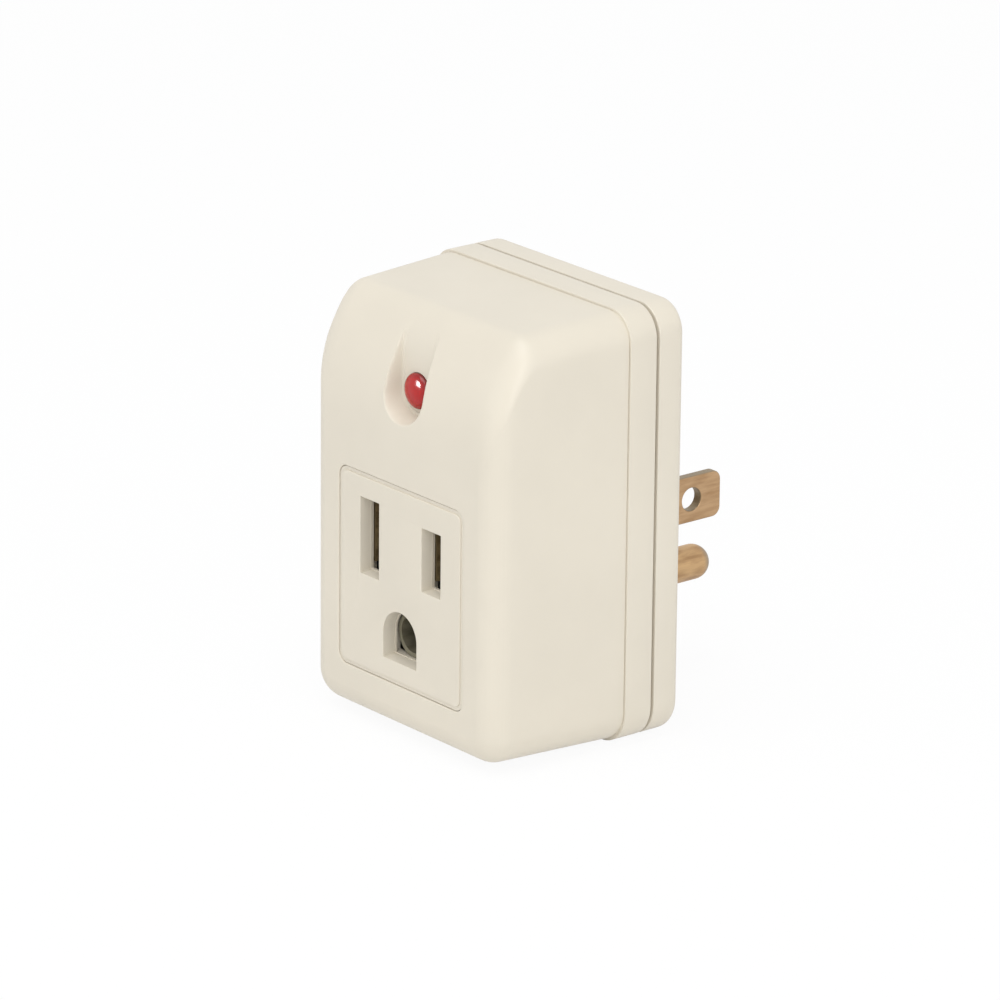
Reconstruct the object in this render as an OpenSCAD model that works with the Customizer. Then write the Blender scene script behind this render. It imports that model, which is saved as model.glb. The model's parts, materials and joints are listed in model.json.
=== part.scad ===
// Plug-in appliance voltage protector: a moulded case with a grounded outlet
// in front, a grounded plug behind, an indicator light and a relay inside.
// The origin lies on the wall face, midway between the two flat blades.
// +Z is up, the outlet faces -Y and the blades point along +Y.
// Depths are counted from the wall face towards the user, so depth d is y = -d.

/* [Case] */
// Width of the case
case_w = 40.1; // [39.5:0.1:46]
// Height of the case above the blade line
case_up = 32.6; // [32:0.1:35]
// Height of the case below the blade line
case_down = 26.1; // [25.4:0.1:30]
// Depth from the wall face to the outlet face
case_depth = 30.4; // [29.6:0.1:34]
// Corner radius of the case outline
case_corner_r = 4.1; // [3.9:0.1:6]
// Wall thickness of the case
wall = 2; // [1.6:0.1:2.3]
// Depth of the rear cover
cover_depth = 4.6; // [4.2:0.05:4.9]
// Depth of the skirt in front of the rear cover
skirt_depth = 4.5; // [3:0.1:6]
// Step from the skirt down to the body
skirt_step = 0.3; // [0.1:0.05:0.5]
// Width of the shadow gap between skirt and cover
parting_gap = 0.35; // [0.2:0.05:0.5]
// Small round on the moulded edges
edge_round = 0.35; // [0.2:0.05:0.5]
// Round on the edge that meets the wall
rear_edge_r = 1.2; // [0.8:0.1:1.4]
// Draft of the body's left and right sides, in degrees
side_draft = 2.4; // [1:0.1:3.5]
// Draft of the body's top and bottom, in degrees
end_draft = 2.5; // [1:0.1:3.2]
// Radius of the edges round the front
front_edge_r = 3.4; // [2.5:0.1:3.8]
// Radius of the brow that leans back above the outlet
brow_r = 26.5; // [24:0.5:29]
// Height above the blade line where the brow begins
brow_z = 15; // [14:0.5:16]

/* [Outlet] */
// Width of the case's front on each side of the outlet face
plate_side = 7.65; // [7.4:0.05:8]
// Height of the outlet face above the blade line
plate_up = 8.85; // [8.4:0.05:9.2]
// Height of the outlet face below the blade line
plate_down = 18.65; // [18.2:0.05:19]
// Corner radius of the outlet face
plate_corner_r = 1; // [0.8:0.1:2]
// Width of the shadow gap round the outlet face
plate_gap = 0.3; // [0.2:0.05:0.4]
// Depth of that gap
plate_gap_depth = 0.3; // [0.25:0.05:0.8]
// Bevel on both edges of that gap
plate_bevel = 0.22; // [0.1:0.02:0.3]
// Flange that holds the outlet face behind its window
plate_flange = 1.2; // [0.8:0.1:1.5]
// Width of both blade slots at the face
slot_w = 3.9; // [3.4:0.1:4.2]
// Height of the neutral slot at the face
neutral_slot_h = 10.4; // [9.8:0.1:10.6]
// Height of the hot slot at the face
hot_slot_h = 8.6; // [8:0.1:9]
// Depth of the lead-in of the slots
lead_in = 1.8; // [1.4:0.1:2]
// Ledge between a lead-in and its slot
lead_ledge = 0.15; // [0.1:0.05:0.4]
// Radius of the arch over the ground hole
ground_arch_r = 3.45; // [3.2:0.05:3.7]
// Drop from the arch's centre to its flat foot
ground_foot = 3.45; // [3.2:0.05:3.6]
// Depth from the outlet face to the sleeve that takes a ground pin
sleeve_in = 2.3; // [2.2:0.1:4]

/* [Plug] */
// Distance between the two flat blades
blade_pitch = 12.7; // [12.5:0.1:12.9]
// Drop from the blade line to the ground pin
ground_drop = 11.9; // [11.7:0.05:12.1]
// Thickness of both flat blades
blade_t = 1.5; // [1.4:0.02:1.6]
// Width of the hot blade
hot_blade_w = 6.35; // [6.1:0.05:6.5]
// Width of the neutral blade
neutral_blade_w = 7.95; // [7.7:0.05:8.1]
// Length of the flat blades outside the case
blade_len = 17.7; // [16:0.1:18.3]
// Distance from the wall face to the hole in each blade
blade_hole_at = 12.7; // [11.5:0.1:13.2]
// Diameter of the hole in each blade
blade_hole_d = 3.18; // [3:0.02:3.4]
// Diameter of the ground pin
pin_d = 4.76; // [4.7:0.02:4.9]
// Length of the ground pin outside the case
pin_len = 21.3; // [20.6:0.1:22.2]

/* [Indicator] */
// Sideways place of the indicator
led_x = -0.3; // [-0.6:0.1:0.4]
// Height of the indicator above the blade line
led_z = 20.9; // [20.7:0.1:21.2]
// Diameter of the lens
led_d = 4.8; // [4.6:0.1:4.9]
// Height of the lens over the floor of its pocket
led_rise = 1.45; // [1:0.05:1.6]
// Depth of the pocket under the outlet face's plane
pocket_depth = 3.35; // [3:0.05:3.6]
// Half width of the pocket at its floor
pocket_floor_r = 3.4; // [3.2:0.1:3.6]
// Half width of the pocket at its mouth
pocket_mouth_r = 3.9; // [3.7:0.1:4.2]

/* [Hidden] */

$fn = 48;
// Overrun of every cut
cut = 0.5;
// Clearance between pieces that only lie beside each other
clearance = 0.1;
// Facets in a quarter of a lofted corner
corner_steps = 9;
// Facets across a round edge
edge_steps = 4;
// Stations along the brow, and the angle left to the stations of its upper edge
brow_steps = 10;
brow_edge_angle = 8;

// Width of the outlet face
plate_w = case_w - 2 * plate_side;

// Case planes, as depths
skirt_back = cover_depth + parting_gap / 2;
rim_front = cover_depth - parting_gap / 2;
body_back = cover_depth + skirt_depth;
inner_front = case_depth - wall;
// Lip of the skirt outside the cover's tongue, and the tongue itself
lip_t = wall * 0.55;
tongue_t = wall / 2;
tongue_len = wall;

// Screws and their posts
screw_r = 1.3;
screw_head_r = 2.5;
screw_head_h = 1.6;
screw_len = 9;
screw_seat = wall * 0.9;
post_r = 2.9;
post_side_in = 4.7;
post_end_in = 4.9;
post_front = case_depth - wall * 3.5;
post_back = rim_front + tongue_len;
stub_r = 1.6;

// Inner ends of the plug's blades and pin
shoulder_out = 1.4;
shoulder_t = 1.4;
blade_tail_w = 3;
blade_tip_r = 1.3;
blade_edge_bevel = 0.3;
pin_neck_out = 0.6;
pin_neck_r = pin_d / 2 + pin_neck_out;
collar_r = 4;
collar_t = 1.2;
strap_t = 0.8;
strap_w = 3;
strap_drop = 6.2;

// Wires run between the blades' shoulders and the pins of the board
wire_r = 1.1;
wire_bend_r = 3;
wire_depth = wall + shoulder_t + clearance + wire_r;
line_wire_z = 13.4;

// Board, as depths, with the pins that stand out behind it
pin_stand = 1.2;
pin_out = wire_depth + wire_r + clearance;
board_t = 1.6;
board_back = pin_out + pin_stand;
board_front = board_back + board_t;
board_side_gap = 0.6;
board_half = case_w / 2 - skirt_step - wall - board_side_gap;
lead_r = 0.35;
hole_r = lead_r + clearance;
ledge_h = 5;
ledge_t = 2.2;
ledge_lap = 0.75;

// Outlet pieces, as depths
face_back = case_depth - wall - plate_flange;
contact_front = case_depth - wall - 2 * clearance;
contact_t = 0.6;
contact_back = board_front + 2 * contact_t;
blade_tail_end = board_front + contact_t / 2;
carrier_wall = 1.1;
pocket_w = 5;
mouth_half = 1.5;
throat_half = 0.55;
belly_half = 1.3;
hot_contact_h = 6.4;
neutral_contact_h = 8;
contact_tail_w = 2.6;
tail_up = 1.9;
sleeve_r = pin_d / 2 + clearance;
sleeve_front = case_depth - sleeve_in;
sleeve_back = contact_back + 2 * contact_t;
sleeve_slit = 1.2;

// Indicator, as depths from its pocket's floor
pocket_floor = case_depth - pocket_depth;
pocket_wall = 1.2;
holder_len = 2.2;
led_r = led_d / 2;
led_barrel = 5.2;
led_centre = pocket_floor - (led_r - led_rise);
led_back = led_centre - led_barrel;
led_flange_r = 2.8;
led_flange_t = 1;
led_pitch = 2.54;
led_lead_w = 0.5;

// Half width that is free inside the case, over the whole depth of the components
free_half = board_half - 0.3 * wall;

// Relay: its box stands on the board, and its coil lies along the depth
relay_w = 20.2;
relay_h = 10;
relay_wall = 0.6;
relay_side_gap = 0.35;
relay_front_gap = 4.4;
relay_x = relay_side_gap + relay_w / 2 - free_half;
relay_z = 11.9;
relay_front = inner_front - relay_front_gap;
relay_d = relay_front - board_front;
base_t = 1.8;
relay_floor = board_front + base_t;
terminal_t = 0.6;
foot_t = 1;
yoke_t = 1.2;
yoke_w = 6.4;
armature_t = 1;
armature_face = relay_front - 2.4 * armature_t;
bead_r = yoke_t / 2;
bead_gap = 0.05;
leaf_t = 0.25;
leaf_w = 4;
tail_gap = 2 * clearance;
relay_end_gap = 0.75;
lever = relay_w / 2 - relay_wall - relay_end_gap - 2 * bead_r - tail_gap - leaf_t;
hinge_x = relay_x + lever;
contact_x = relay_x - lever;
bobbin_half = 4;
coil_gap = 0.6;
coil_x = hinge_x - bead_r - coil_gap - bobbin_half;
core_r = 2;
air_gap = 0.5;
core_tip = armature_face - air_gap;
flange_t = 0.8;
bobbin_r = 2.4;
bobbin_tip = core_tip - 2 * clearance;
winding_r = 3.7;
button_r = 1.3;
button_h = 0.8;
contact_gap = 1;
anvil_h = 0.6;
anvil_face = armature_face + armature_t - button_h - contact_gap;
armature_end = contact_x + 2.6 * button_r;
armature_tail = hinge_x + 2 * bead_r;
spring_len = relay_d * 3 / 7;

// Components on the board: sizes and places
varistor_room = free_half + led_x - led_pitch / 2 - led_lead_w / 2;
varistor_r_share = 0.38;
varistor_r = varistor_r_share * varistor_room;
varistor_t = 3.6;
varistor_side_gap = 0.85;
varistor_x = varistor_r + varistor_side_gap - free_half;
varistor_z = 21;
varistor_pitch = 5;
varistor_stand = 1.1;
varistor_depth = board_front + varistor_r + varistor_stand;
film_gap = 1.5;
film_side_gap = 0.25;
film_left = relay_x + relay_w / 2 + film_gap;
film_right = free_half - film_side_gap;
film_w = film_right - film_left;
film_h = 5;
film_d = 11;
film_x = (film_left + film_right) / 2;
film_z = 9.9;
film_lead_in = 0.5;
film_pitch = film_w - 2 * film_lead_in;
can_room = free_half - relay_x - relay_w / 2;
can_r_share = 0.247;
can_x_share = 0.431;
can_r = can_r_share * can_room;
can_x = relay_x + relay_w / 2 + can_x_share * can_room;
can_len = 11;
can_z = 16.6;
can_pitch = 0.8 * can_r;
diode_r = 1.35;
diode_len = 5.2;
diode_side_gap = 2.55;
diode_x = free_half - diode_side_gap - diode_len / 2;
diode_pitch = 3.1;
diode_first = -6.9;
diode_count = 4;
resistor_r = 1.15;
resistor_len = 6.3;
resistor_pitch = 2.8;
resistor_first = -10.9;
resistor_count = 3;
fuse_r = 1.6;
fuse_len = 8;
fuse_z = -7.6;
fuse_side_gap = 0.65;
left_x = fuse_len / 2 + fuse_side_gap - free_half;
transistor_r = 2.3;
transistor_h = 4.6;
transistor_side_gap = 4.95;
transistor_x = free_half - transistor_side_gap - transistor_r;
transistor_z = 24.4;
transistor_stand = 2.2;
transistor_pitch = 1.27;
chip_w = 5;
chip_h = 4;
chip_t = 1.5;
chip_gap = 2;
chip_x = transistor_x - transistor_r - chip_gap - chip_w / 2;
chip_z = 26;
chip_pitch = 1.27;
chip_lead = 1;

ivory = [0.89, 0.87, 0.80];
brass = [0.75, 0.58, 0.38];
tin = [0.78, 0.78, 0.80];

// Extrudes an outline in X and Z from depth d0 to the larger depth d1
module slab(d0, d1) {
    translate([0, -d0, 0]) rotate([90, 0, 0]) linear_extrude(height = d1 - d0) children();
}

// A round bar along the depth, from d0 to d1, at x and z
module bar(x, z, r, d0, d1, r_front = undef) {
    translate([x, -d0, z]) rotate([90, 0, 0])
        cylinder(r1 = r, r2 = is_undef(r_front) ? r : r_front, h = d1 - d0);
}

// A box given by its middle in X and Z and by its two depths
module block(x, z, w, h, d0, d1) {
    translate([x - w / 2, -d1, z - h / 2]) cube([w, d1 - d0, h]);
}

// A rectangle with round corners, from its half width, foot and head
module rounded(xh, z0, z1, r) {
    translate([-xh, z0 + r]) square([2 * xh, z1 - z0 - 2 * r]);
    translate([r - xh, z0]) square([2 * (xh - r), z1 - z0]);
    for (sx = [-1, 1], z = [z0 + r, z1 - r]) translate([sx * (xh - r), z]) circle(r);
}

// The same outline as a closed ring of points at depth d, for a loft
function ring(d, xh, z0, z1, r) = [
    for (q = [0:3], i = [0:corner_steps])
        let (a = (q + i / corner_steps) * 90,
             cx = (q == 0 || q == 3 ? 1 : -1) * (xh - r),
             cz = q < 2 ? z1 - r : z0 + r)
        [cx + r * cos(a), -d, cz + r * sin(a)]
];

// Skins a list of rings, which runs from the back to the front
module loft(rings) {
    n = len(rings[0]);
    last = len(rings) - 1;
    polyhedron(
        points = [for (one = rings) each one],
        faces = concat(
            [[for (i = [0:n - 1]) i]],
            [for (k = [0:last - 1], i = [0:n - 1])
                let (a = k * n + i, b = k * n + (i + 1) % n) each [[a, a + n, b], [b, a + n, b + n]]],
            [[for (i = [n - 1:-1:0]) last * n + i]]
        ),
        convexity = 4
    );
}

// How far the front edge's round draws the outline in, for a wall this far inside
function edge_in(d, inside) =
    let (left = d - case_depth + front_edge_r, r = front_edge_r - inside)
    left <= 0 ? inside : front_edge_r - sqrt(max(0, r * r - left * left));

// Draft since the back of the body
function drafted(d, angle) = (d - body_back) * tan(angle);

// Height of the brow's arc at depth d
function brow_height(d, inside) =
    let (r = brow_r - inside, ahead = max(0, brow_r - case_depth + d))
    brow_z + sqrt(max(0, r * r - ahead * ahead));

// The lower of two heights, blended over the round k where they meet
function blend_low(a, b, k) =
    let (h = max(k - abs(a - b), 0) / k) min(a, b) - h * h * k / 4;

// One ring of the body, or of its hollow when inside is the wall
function body_ring(d, inside) =
    let (e = edge_in(d, inside),
         side = case_w / 2 - skirt_step - drafted(d, side_draft) - e,
         foot = skirt_step - case_down + drafted(d, end_draft) + e,
         flat = case_up - skirt_step - drafted(d, end_draft) - inside,
         head = blend_low(flat, brow_height(d, inside), front_edge_r * 0.4))
    ring(d, side, foot, head, case_corner_r - e);

// Angle along the brow at which it meets the top
top_at_brow = case_up - skirt_step - drafted(case_depth - brow_r * 0.3, end_draft);
function meet_angle(inside) = asin((top_at_brow - inside - brow_z) / (brow_r - inside));

// Depth of a point on the brow's arc
function brow_depth(angle, inside) = case_depth - brow_r + (brow_r - inside) * cos(angle);

// Depths of the stations along a body with its skin this far inside
function stations(inside) = concat(
    [body_back],
    [for (i = [-3:3]) brow_depth(meet_angle(inside), inside) + i * front_edge_r / 8],
    [for (i = [brow_steps:-1:0])
        brow_depth((meet_angle(inside) - brow_edge_angle) * i / brow_steps, inside)]
);

// Ring of the case outline at depth d, this far inside
function case_ring(d, inside) =
    ring(d, case_w / 2 - inside, inside - case_down, case_up - inside, case_corner_r - inside);

module outer_form() {
    loft(concat(
        [case_ring(skirt_back, edge_round / 2),
         case_ring(skirt_back + edge_round / 2, 0),
         case_ring(body_back - skirt_step / 2, 0),
         case_ring(body_back, skirt_step / 2)],
        [for (d = stations(0)) body_ring(d, 0)]));
}

module hollow() {
    loft([for (d = stations(wall)) body_ring(d, wall)]);
    slab(skirt_back - cut, body_back)
        rounded(case_w / 2 - skirt_step - wall, skirt_step + wall - case_down,
                case_up - skirt_step - wall, case_corner_r - wall);
    slab(skirt_back - cut, post_back + clearance)
        rounded(case_w / 2 - lip_t, lip_t - case_down, case_up - lip_t, case_corner_r - lip_t);
}

// Places of the four posts, counted in from the case's edges
function post_places() = [
    for (sx = [-1, 1], z = [post_end_in - case_down, case_up - post_end_in])
        [sx * (case_w / 2 - post_side_in), z]
];

// How far the board's ledges run past it into the wall
ledge_out = board_side_gap + wall / 4;

// The indicator's pocket is a drafted channel with a round foot
module pocket(grow, back, front) {
    slope = (pocket_mouth_r - pocket_floor_r) / pocket_depth;
    r0 = pocket_floor_r + grow - slope * (pocket_floor - back);
    r1 = r0 + slope * (front - back);
    bar(led_x, led_z, r0, back, front, r1);
    translate([led_x, 0, led_z]) linear_extrude(height = case_up - led_z)
        polygon([[-r0, -back], [r0, -back], [r1, -front], [-r1, -front]]);
}

// Ring of the window round the outlet face at depth d, this far outside it
function window_ring(d, out) = ring(d, plate_w / 2 + plate_gap + out, -plate_down - plate_gap - out,
                                    plate_up + plate_gap + out, plate_corner_r + plate_gap + out);

module front_housing() color(ivory) difference() {
    union() {
        difference() {
            outer_form();
            hollow();
        }
        intersection() {
            pocket(pocket_wall, pocket_floor - pocket_wall, case_depth);
            loft([for (d = stations(wall / 2)) body_ring(d, wall / 2)]);
        }
        bar(led_x, led_z, led_r + clearance + pocket_wall, pocket_floor - pocket_wall - holder_len,
            pocket_floor - pocket_wall / 2);
        for (p = post_places()) bar(p[0], p[1], post_r, post_back + clearance, post_front);
        for (sx = [-1, 1], z = [brow_z / 2, -ground_drop])
            block(sx * (board_half + ledge_out / 2 - ledge_lap / 2), z,
                  ledge_lap + ledge_out, ledge_h, board_front, board_front + ledge_t);
    }
    pocket(0, pocket_floor, case_depth + cut);
    bar(led_x, led_z, led_r + clearance, led_back, case_depth);
    loft([window_ring(inner_front - cut, 0), window_ring(case_depth - plate_bevel, 0),
          window_ring(case_depth + plate_bevel, 2 * plate_bevel)]);
    for (p = post_places())
        bar(p[0], p[1], screw_r + clearance / 2, post_back, screw_seat + screw_len + screw_r);
}

module rear_cover() color(ivory) difference() {
    union() {
        difference() {
            loft(concat(
                [for (i = [0:edge_steps]) let (a = 90 * i / edge_steps)
                    case_ring(rear_edge_r * (1 - cos(a)), rear_edge_r * (1 - sin(a)))],
                [case_ring(rim_front - edge_round / 2, 0),
                 case_ring(rim_front, edge_round / 2)]));
            slab(wall, rim_front + cut)
                rounded(case_w / 2 - lip_t - clearance - tongue_t,
                        lip_t + clearance + tongue_t - case_down,
                        case_up - lip_t - clearance - tongue_t,
                        case_corner_r - lip_t - clearance - tongue_t);
        }
        difference() {
            slab(wall, post_back)
                rounded(case_w / 2 - lip_t - clearance, lip_t + clearance - case_down,
                        case_up - lip_t - clearance, case_corner_r - lip_t - clearance);
            slab(wall - cut, post_back + cut)
                rounded(case_w / 2 - lip_t - clearance - tongue_t,
                        lip_t + clearance + tongue_t - case_down,
                        case_up - lip_t - clearance - tongue_t,
                        case_corner_r - lip_t - clearance - tongue_t);
        }
        for (p = post_places()) bar(p[0], p[1], post_r, wall / 2, post_back);
        for (z = [post_end_in - case_down, case_up - post_end_in])
            bar(0, z, stub_r, wall / 2, board_back);
    }
    for (p = post_places()) {
        bar(p[0], p[1], screw_r + clearance, screw_seat - cut, post_back + cut);
        bar(p[0], p[1], screw_head_r + clearance, -cut, screw_seat);
    }
    block(blade_pitch / 2, 0, blade_t + clearance, hot_blade_w + clearance, -cut, wall + cut);
    block(-blade_pitch / 2, 0, blade_t + clearance, neutral_blade_w + clearance, -cut, wall + cut);
    bar(0, -ground_drop, pin_neck_r + clearance, -cut, wall + cut);
}

module cover_screws() color(tin) for (p = post_places()) translate([p[0], -screw_seat, p[1]])
    rotate([90, 0, 0]) difference() {
        rotate_extrude() polygon([
            [0, -screw_head_h], [screw_head_r * 0.7, -screw_head_h],
            [screw_head_r, -screw_head_h * 0.6], [screw_head_r, 0], [screw_r, 0],
            [screw_r, screw_len - screw_r], [0, screw_len]
        ]);
        for (a = [0, 90]) rotate([0, 0, a])
            translate([-screw_head_r / 2, -screw_head_r / 8, -screw_head_h - cut])
                cube([screw_head_r, screw_head_r / 4, cut + screw_head_h / 2]);
    }

// An arch with a flat foot, round the ground hole's centre
module arch(r, foot) {
    translate([0, -ground_drop]) {
        circle(r);
        translate([-r, -foot]) square([2 * r, foot]);
    }
}

// A blade slot: a lead-in at the face, the slot, and a pocket for the contact behind
module blade_slot(x, h) {
    block(x, 0, slot_w, h, case_depth - lead_in, case_depth + cut);
    block(x, 0, slot_w - 2 * lead_ledge, h - 4 * lead_ledge, case_depth - wall - cut,
          case_depth);
    block(x, 0, pocket_w, h + 2 * lead_ledge, face_back - cut, case_depth - wall);
}

module outlet_face() color(ivory) difference() {
    union() {
        loft([window_ring(face_back + plate_flange / 2, -clearance),
              window_ring(case_depth - plate_gap_depth, -clearance),
              window_ring(case_depth - plate_gap_depth, -plate_gap),
              window_ring(case_depth - plate_bevel, -plate_gap),
              window_ring(case_depth, -plate_gap - plate_bevel)]);
        slab(face_back, inner_front)
            rounded(plate_w / 2 + plate_gap + plate_flange, -plate_down - plate_gap - plate_flange,
                    plate_up + plate_gap + plate_flange, plate_corner_r + plate_flange);
    }
    blade_slot(blade_pitch / 2, hot_slot_h);
    blade_slot(-blade_pitch / 2, neutral_slot_h);
    slab(case_depth - lead_in, case_depth + cut) arch(ground_arch_r, ground_foot);
    slab(face_back - cut, case_depth)
        arch(ground_arch_r - 2 * lead_ledge, ground_foot - 2 * lead_ledge);
    bar(0, -ground_drop, ground_arch_r, face_back - cut, case_depth - wall);
}

// Outline of the carrier, or of its pockets when grow is zero
module carrier_outline(grow) {
    for (s = [[blade_pitch / 2, hot_contact_h], [-blade_pitch / 2, neutral_contact_h]])
        translate([s[0] - pocket_w / 2 - grow, -s[1] / 2 - 2 * clearance - grow])
            square([pocket_w + 2 * grow, s[1] + 4 * clearance + 2 * grow]);
    translate([0, -ground_drop]) circle(sleeve_r + contact_t + 2 * clearance + grow);
}

module contact_carrier() color([0.2, 0.2, 0.22]) difference() {
    slab(board_front, face_back) {
        carrier_outline(carrier_wall);
        translate([-blade_pitch / 2, -carrier_wall]) square([blade_pitch, 2 * carrier_wall]);
        translate([-carrier_wall, -ground_drop]) square([2 * carrier_wall, ground_drop]);
    }
    slab(board_front - cut, face_back + cut) carrier_outline(0);
}

// A folded spring contact: two leaves from the mouth to the web, and a tail for the board
module blade_contact(x, h) color(brass) translate([x, 0, -h / 2]) {
    long = contact_front - contact_back;
    leaf = [[mouth_half, 0], [throat_half, 0.24 * long], [throat_half, 0.3 * long],
            [belly_half, 0.62 * long]];
    last = len(leaf) - 1;
    linear_extrude(height = h) translate([0, -contact_front]) polygon(concat(
        [for (p = leaf) [p[0] + contact_t, p[1]]],
        [[belly_half + contact_t, long], [-belly_half - contact_t, long]],
        [for (i = [last:-1:0]) [-leaf[i][0] - contact_t, leaf[i][1]]],
        [for (p = leaf) [-p[0], p[1]]],
        [[-belly_half, long - contact_t], [belly_half, long - contact_t]],
        [for (i = [last:-1:0]) leaf[i]]));
    translate([-contact_t / 2, -contact_back, h / 2 + tail_up - contact_tail_w / 2])
        cube([contact_t, contact_back - pin_out, contact_tail_w]);
}

module hot_contact() blade_contact(blade_pitch / 2, hot_contact_h);
module neutral_contact() blade_contact(-blade_pitch / 2, neutral_contact_h);

// The sleeve behind the ground hole, slit so that it grips
module ground_contact() color(brass) {
    difference() {
        bar(0, -ground_drop, sleeve_r + contact_t, sleeve_back, sleeve_front);
        bar(0, -ground_drop, sleeve_r, sleeve_back - cut, sleeve_front + cut);
        block(0, sleeve_r - ground_drop, sleeve_slit, 2 * sleeve_r, sleeve_back - cut,
              sleeve_front + cut);
    }
    block(0, -ground_drop - sleeve_r - contact_t / 2, strap_w / 2, contact_t, pin_out,
          sleeve_back + contact_t);
}

// A blade's outline: tail, shoulder against the cover, and the blade with its round corners
module blade_outline(w) {
    straight = blade_len - blade_tip_r;
    polygon([
        [-blade_tail_end, -tail_up - blade_tail_w / 2],
        [-wall - shoulder_t, -tail_up - blade_tail_w / 2],
        [-wall - shoulder_t, -w / 2 - shoulder_out], [-wall, -w / 2 - shoulder_out],
        [-wall, -w / 2], [straight, -w / 2], [straight, w / 2], [-wall, w / 2],
        [-wall, w / 2 + shoulder_out], [-wall - shoulder_t, w / 2 + shoulder_out],
        [-wall - shoulder_t, blade_tail_w / 2 - tail_up],
        [-blade_tail_end, blade_tail_w / 2 - tail_up]
    ]);
    translate([0, blade_tip_r - w / 2]) square([blade_len, w - 2 * blade_tip_r]);
    for (sz = [-1, 1]) translate([straight, sz * (w / 2 - blade_tip_r)]) circle(blade_tip_r);
}

// One drilled blade of the plug
module blade(x, w) color(brass) translate([x, 0, 0]) difference() {
    rotate([90, 0, 90]) linear_extrude(height = blade_t, center = true) blade_outline(w);
    translate([0, blade_hole_at, 0]) rotate([0, 90, 0])
        cylinder(d = blade_hole_d, h = blade_t + 2 * cut, center = true);
    for (sx = [-1, 1]) translate([sx * blade_t / 2, blade_len, 0]) rotate([0, 0, 45])
        cube([blade_edge_bevel, blade_edge_bevel, w + cut], center = true);
}

module hot_blade() blade(blade_pitch / 2, hot_blade_w);
module neutral_blade() blade(-blade_pitch / 2, neutral_blade_w);

// The round pin, with a neck in the cover and a collar behind it
module ground_pin() color(brass) translate([0, 0, -ground_drop]) {
    rotate([-90, 0, 0]) rotate_extrude() {
        square([pin_d / 2, pin_len - pin_d / 2]);
        translate([0, -wall - collar_t]) square([collar_r, collar_t]);
        translate([0, -wall]) square([pin_neck_r, wall]);
        intersection() {
            translate([0, pin_len - pin_d / 2]) circle(pin_d / 2);
            square([pin_d / 2, pin_len]);
        }
    }
}

module neutral_link() color(brass) difference() {
    block(-blade_pitch / 2, 0, strap_w, 2 * tail_up + blade_tail_w + 2 * strap_t,
          pin_out - strap_t, pin_out);
    block(-blade_pitch / 2, -tail_up, blade_t + clearance, blade_tail_w + clearance,
          pin_out - strap_t - cut, pin_out + cut);
}

module ground_strap() color(brass) {
    d0 = wall + collar_t;
    block(0, -ground_drop - strap_drop / 2, strap_w, strap_drop, d0, d0 + strap_t);
    block(0, -ground_drop - strap_drop + strap_t / 2, strap_w, strap_t, d0, pin_out + strap_t);
    block(0, -ground_drop - strap_drop + strap_t / 2, strap_w / 2, strap_t, pin_out,
          board_front + contact_t);
}

module circuit_board() color([0.55, 0.45, 0.25]) difference() {
    slab(board_back, board_front)
        rounded(board_half, skirt_step + wall + board_side_gap - case_down,
                case_up - skirt_step - wall - board_side_gap, case_corner_r - wall);
    for (p = post_places())
        bar(p[0], p[1], post_r + 3 * clearance, board_back - cut, board_front + cut);
    bar(0, -ground_drop, sleeve_r + contact_t, board_back - cut, board_front + cut);
    for (sx = [-1, 1]) {
        block(sx * blade_pitch / 2, tail_up, contact_t + 2 * clearance,
              contact_tail_w + 2 * clearance, board_back - cut, board_front + cut);
        block(sx * blade_pitch / 2, -tail_up, blade_t + 2 * clearance,
              blade_tail_w + 2 * clearance, board_back - cut, board_front + cut);
    }
    block(0, -ground_drop - sleeve_r - contact_t / 2, strap_w / 2 + 2 * clearance,
          contact_t + 2 * clearance, board_back - cut, board_front + cut);
    block(0, -ground_drop - strap_drop + strap_t / 2, strap_w / 2 + 2 * clearance,
          strap_t + 2 * clearance, board_back - cut, board_front + cut);
    for (p = concat(lead_places(), led_places()))
        bar(p[0], p[1], hole_r, board_back - cut, board_front + cut);
    for (p = relay_pin_places())
        block(p[0], p[1], terminal_t + 2 * clearance, terminal_t * 2 + 2 * clearance,
              board_back - cut, board_front + cut);
}

module indicator_led() color([0.75, 0.15, 0.13]) {
    bar(led_x, led_z, led_r, led_back, led_centre);
    translate([led_x, -led_centre, led_z]) intersection() {
        sphere(led_r);
        translate([-led_r, -led_r, -led_r]) cube([2 * led_r, led_r, 2 * led_r]);
    }
    bar(led_x, led_z, led_flange_r, led_back - led_flange_t, led_back);
}

function led_places() = [for (sx = [-1, 1]) [led_x + sx * led_pitch / 2, led_z]];

module led_leads() color(tin) for (p = led_places())
    block(p[0], p[1], led_lead_w, led_lead_w, pin_out, led_back - led_flange_t);

// Relay
function relay_pin_places() = [
    [relay_x - relay_w / 2 + relay_wall + terminal_t, relay_z],
    [hinge_x, relay_z],
    [coil_x, relay_z + bobbin_half],
    [coil_x, relay_z - bobbin_half]
];

module relay_base() color([0.25, 0.25, 0.27]) difference() {
    block(relay_x, relay_z, relay_w - 2 * relay_wall - clearance,
          relay_h - 2 * relay_wall - clearance, board_front, relay_floor);
    for (p = relay_pin_places())
        block(p[0], p[1], terminal_t + clearance, terminal_t * 2 + clearance,
              board_front - cut, relay_floor + cut);
}

module relay_case() color([0.15, 0.3, 0.6]) difference() {
    block(relay_x, relay_z, relay_w, relay_h, board_front, relay_front);
    block(relay_x, relay_z, relay_w - 2 * relay_wall, relay_h - 2 * relay_wall,
          board_front - cut, relay_front - relay_wall);
}

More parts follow.
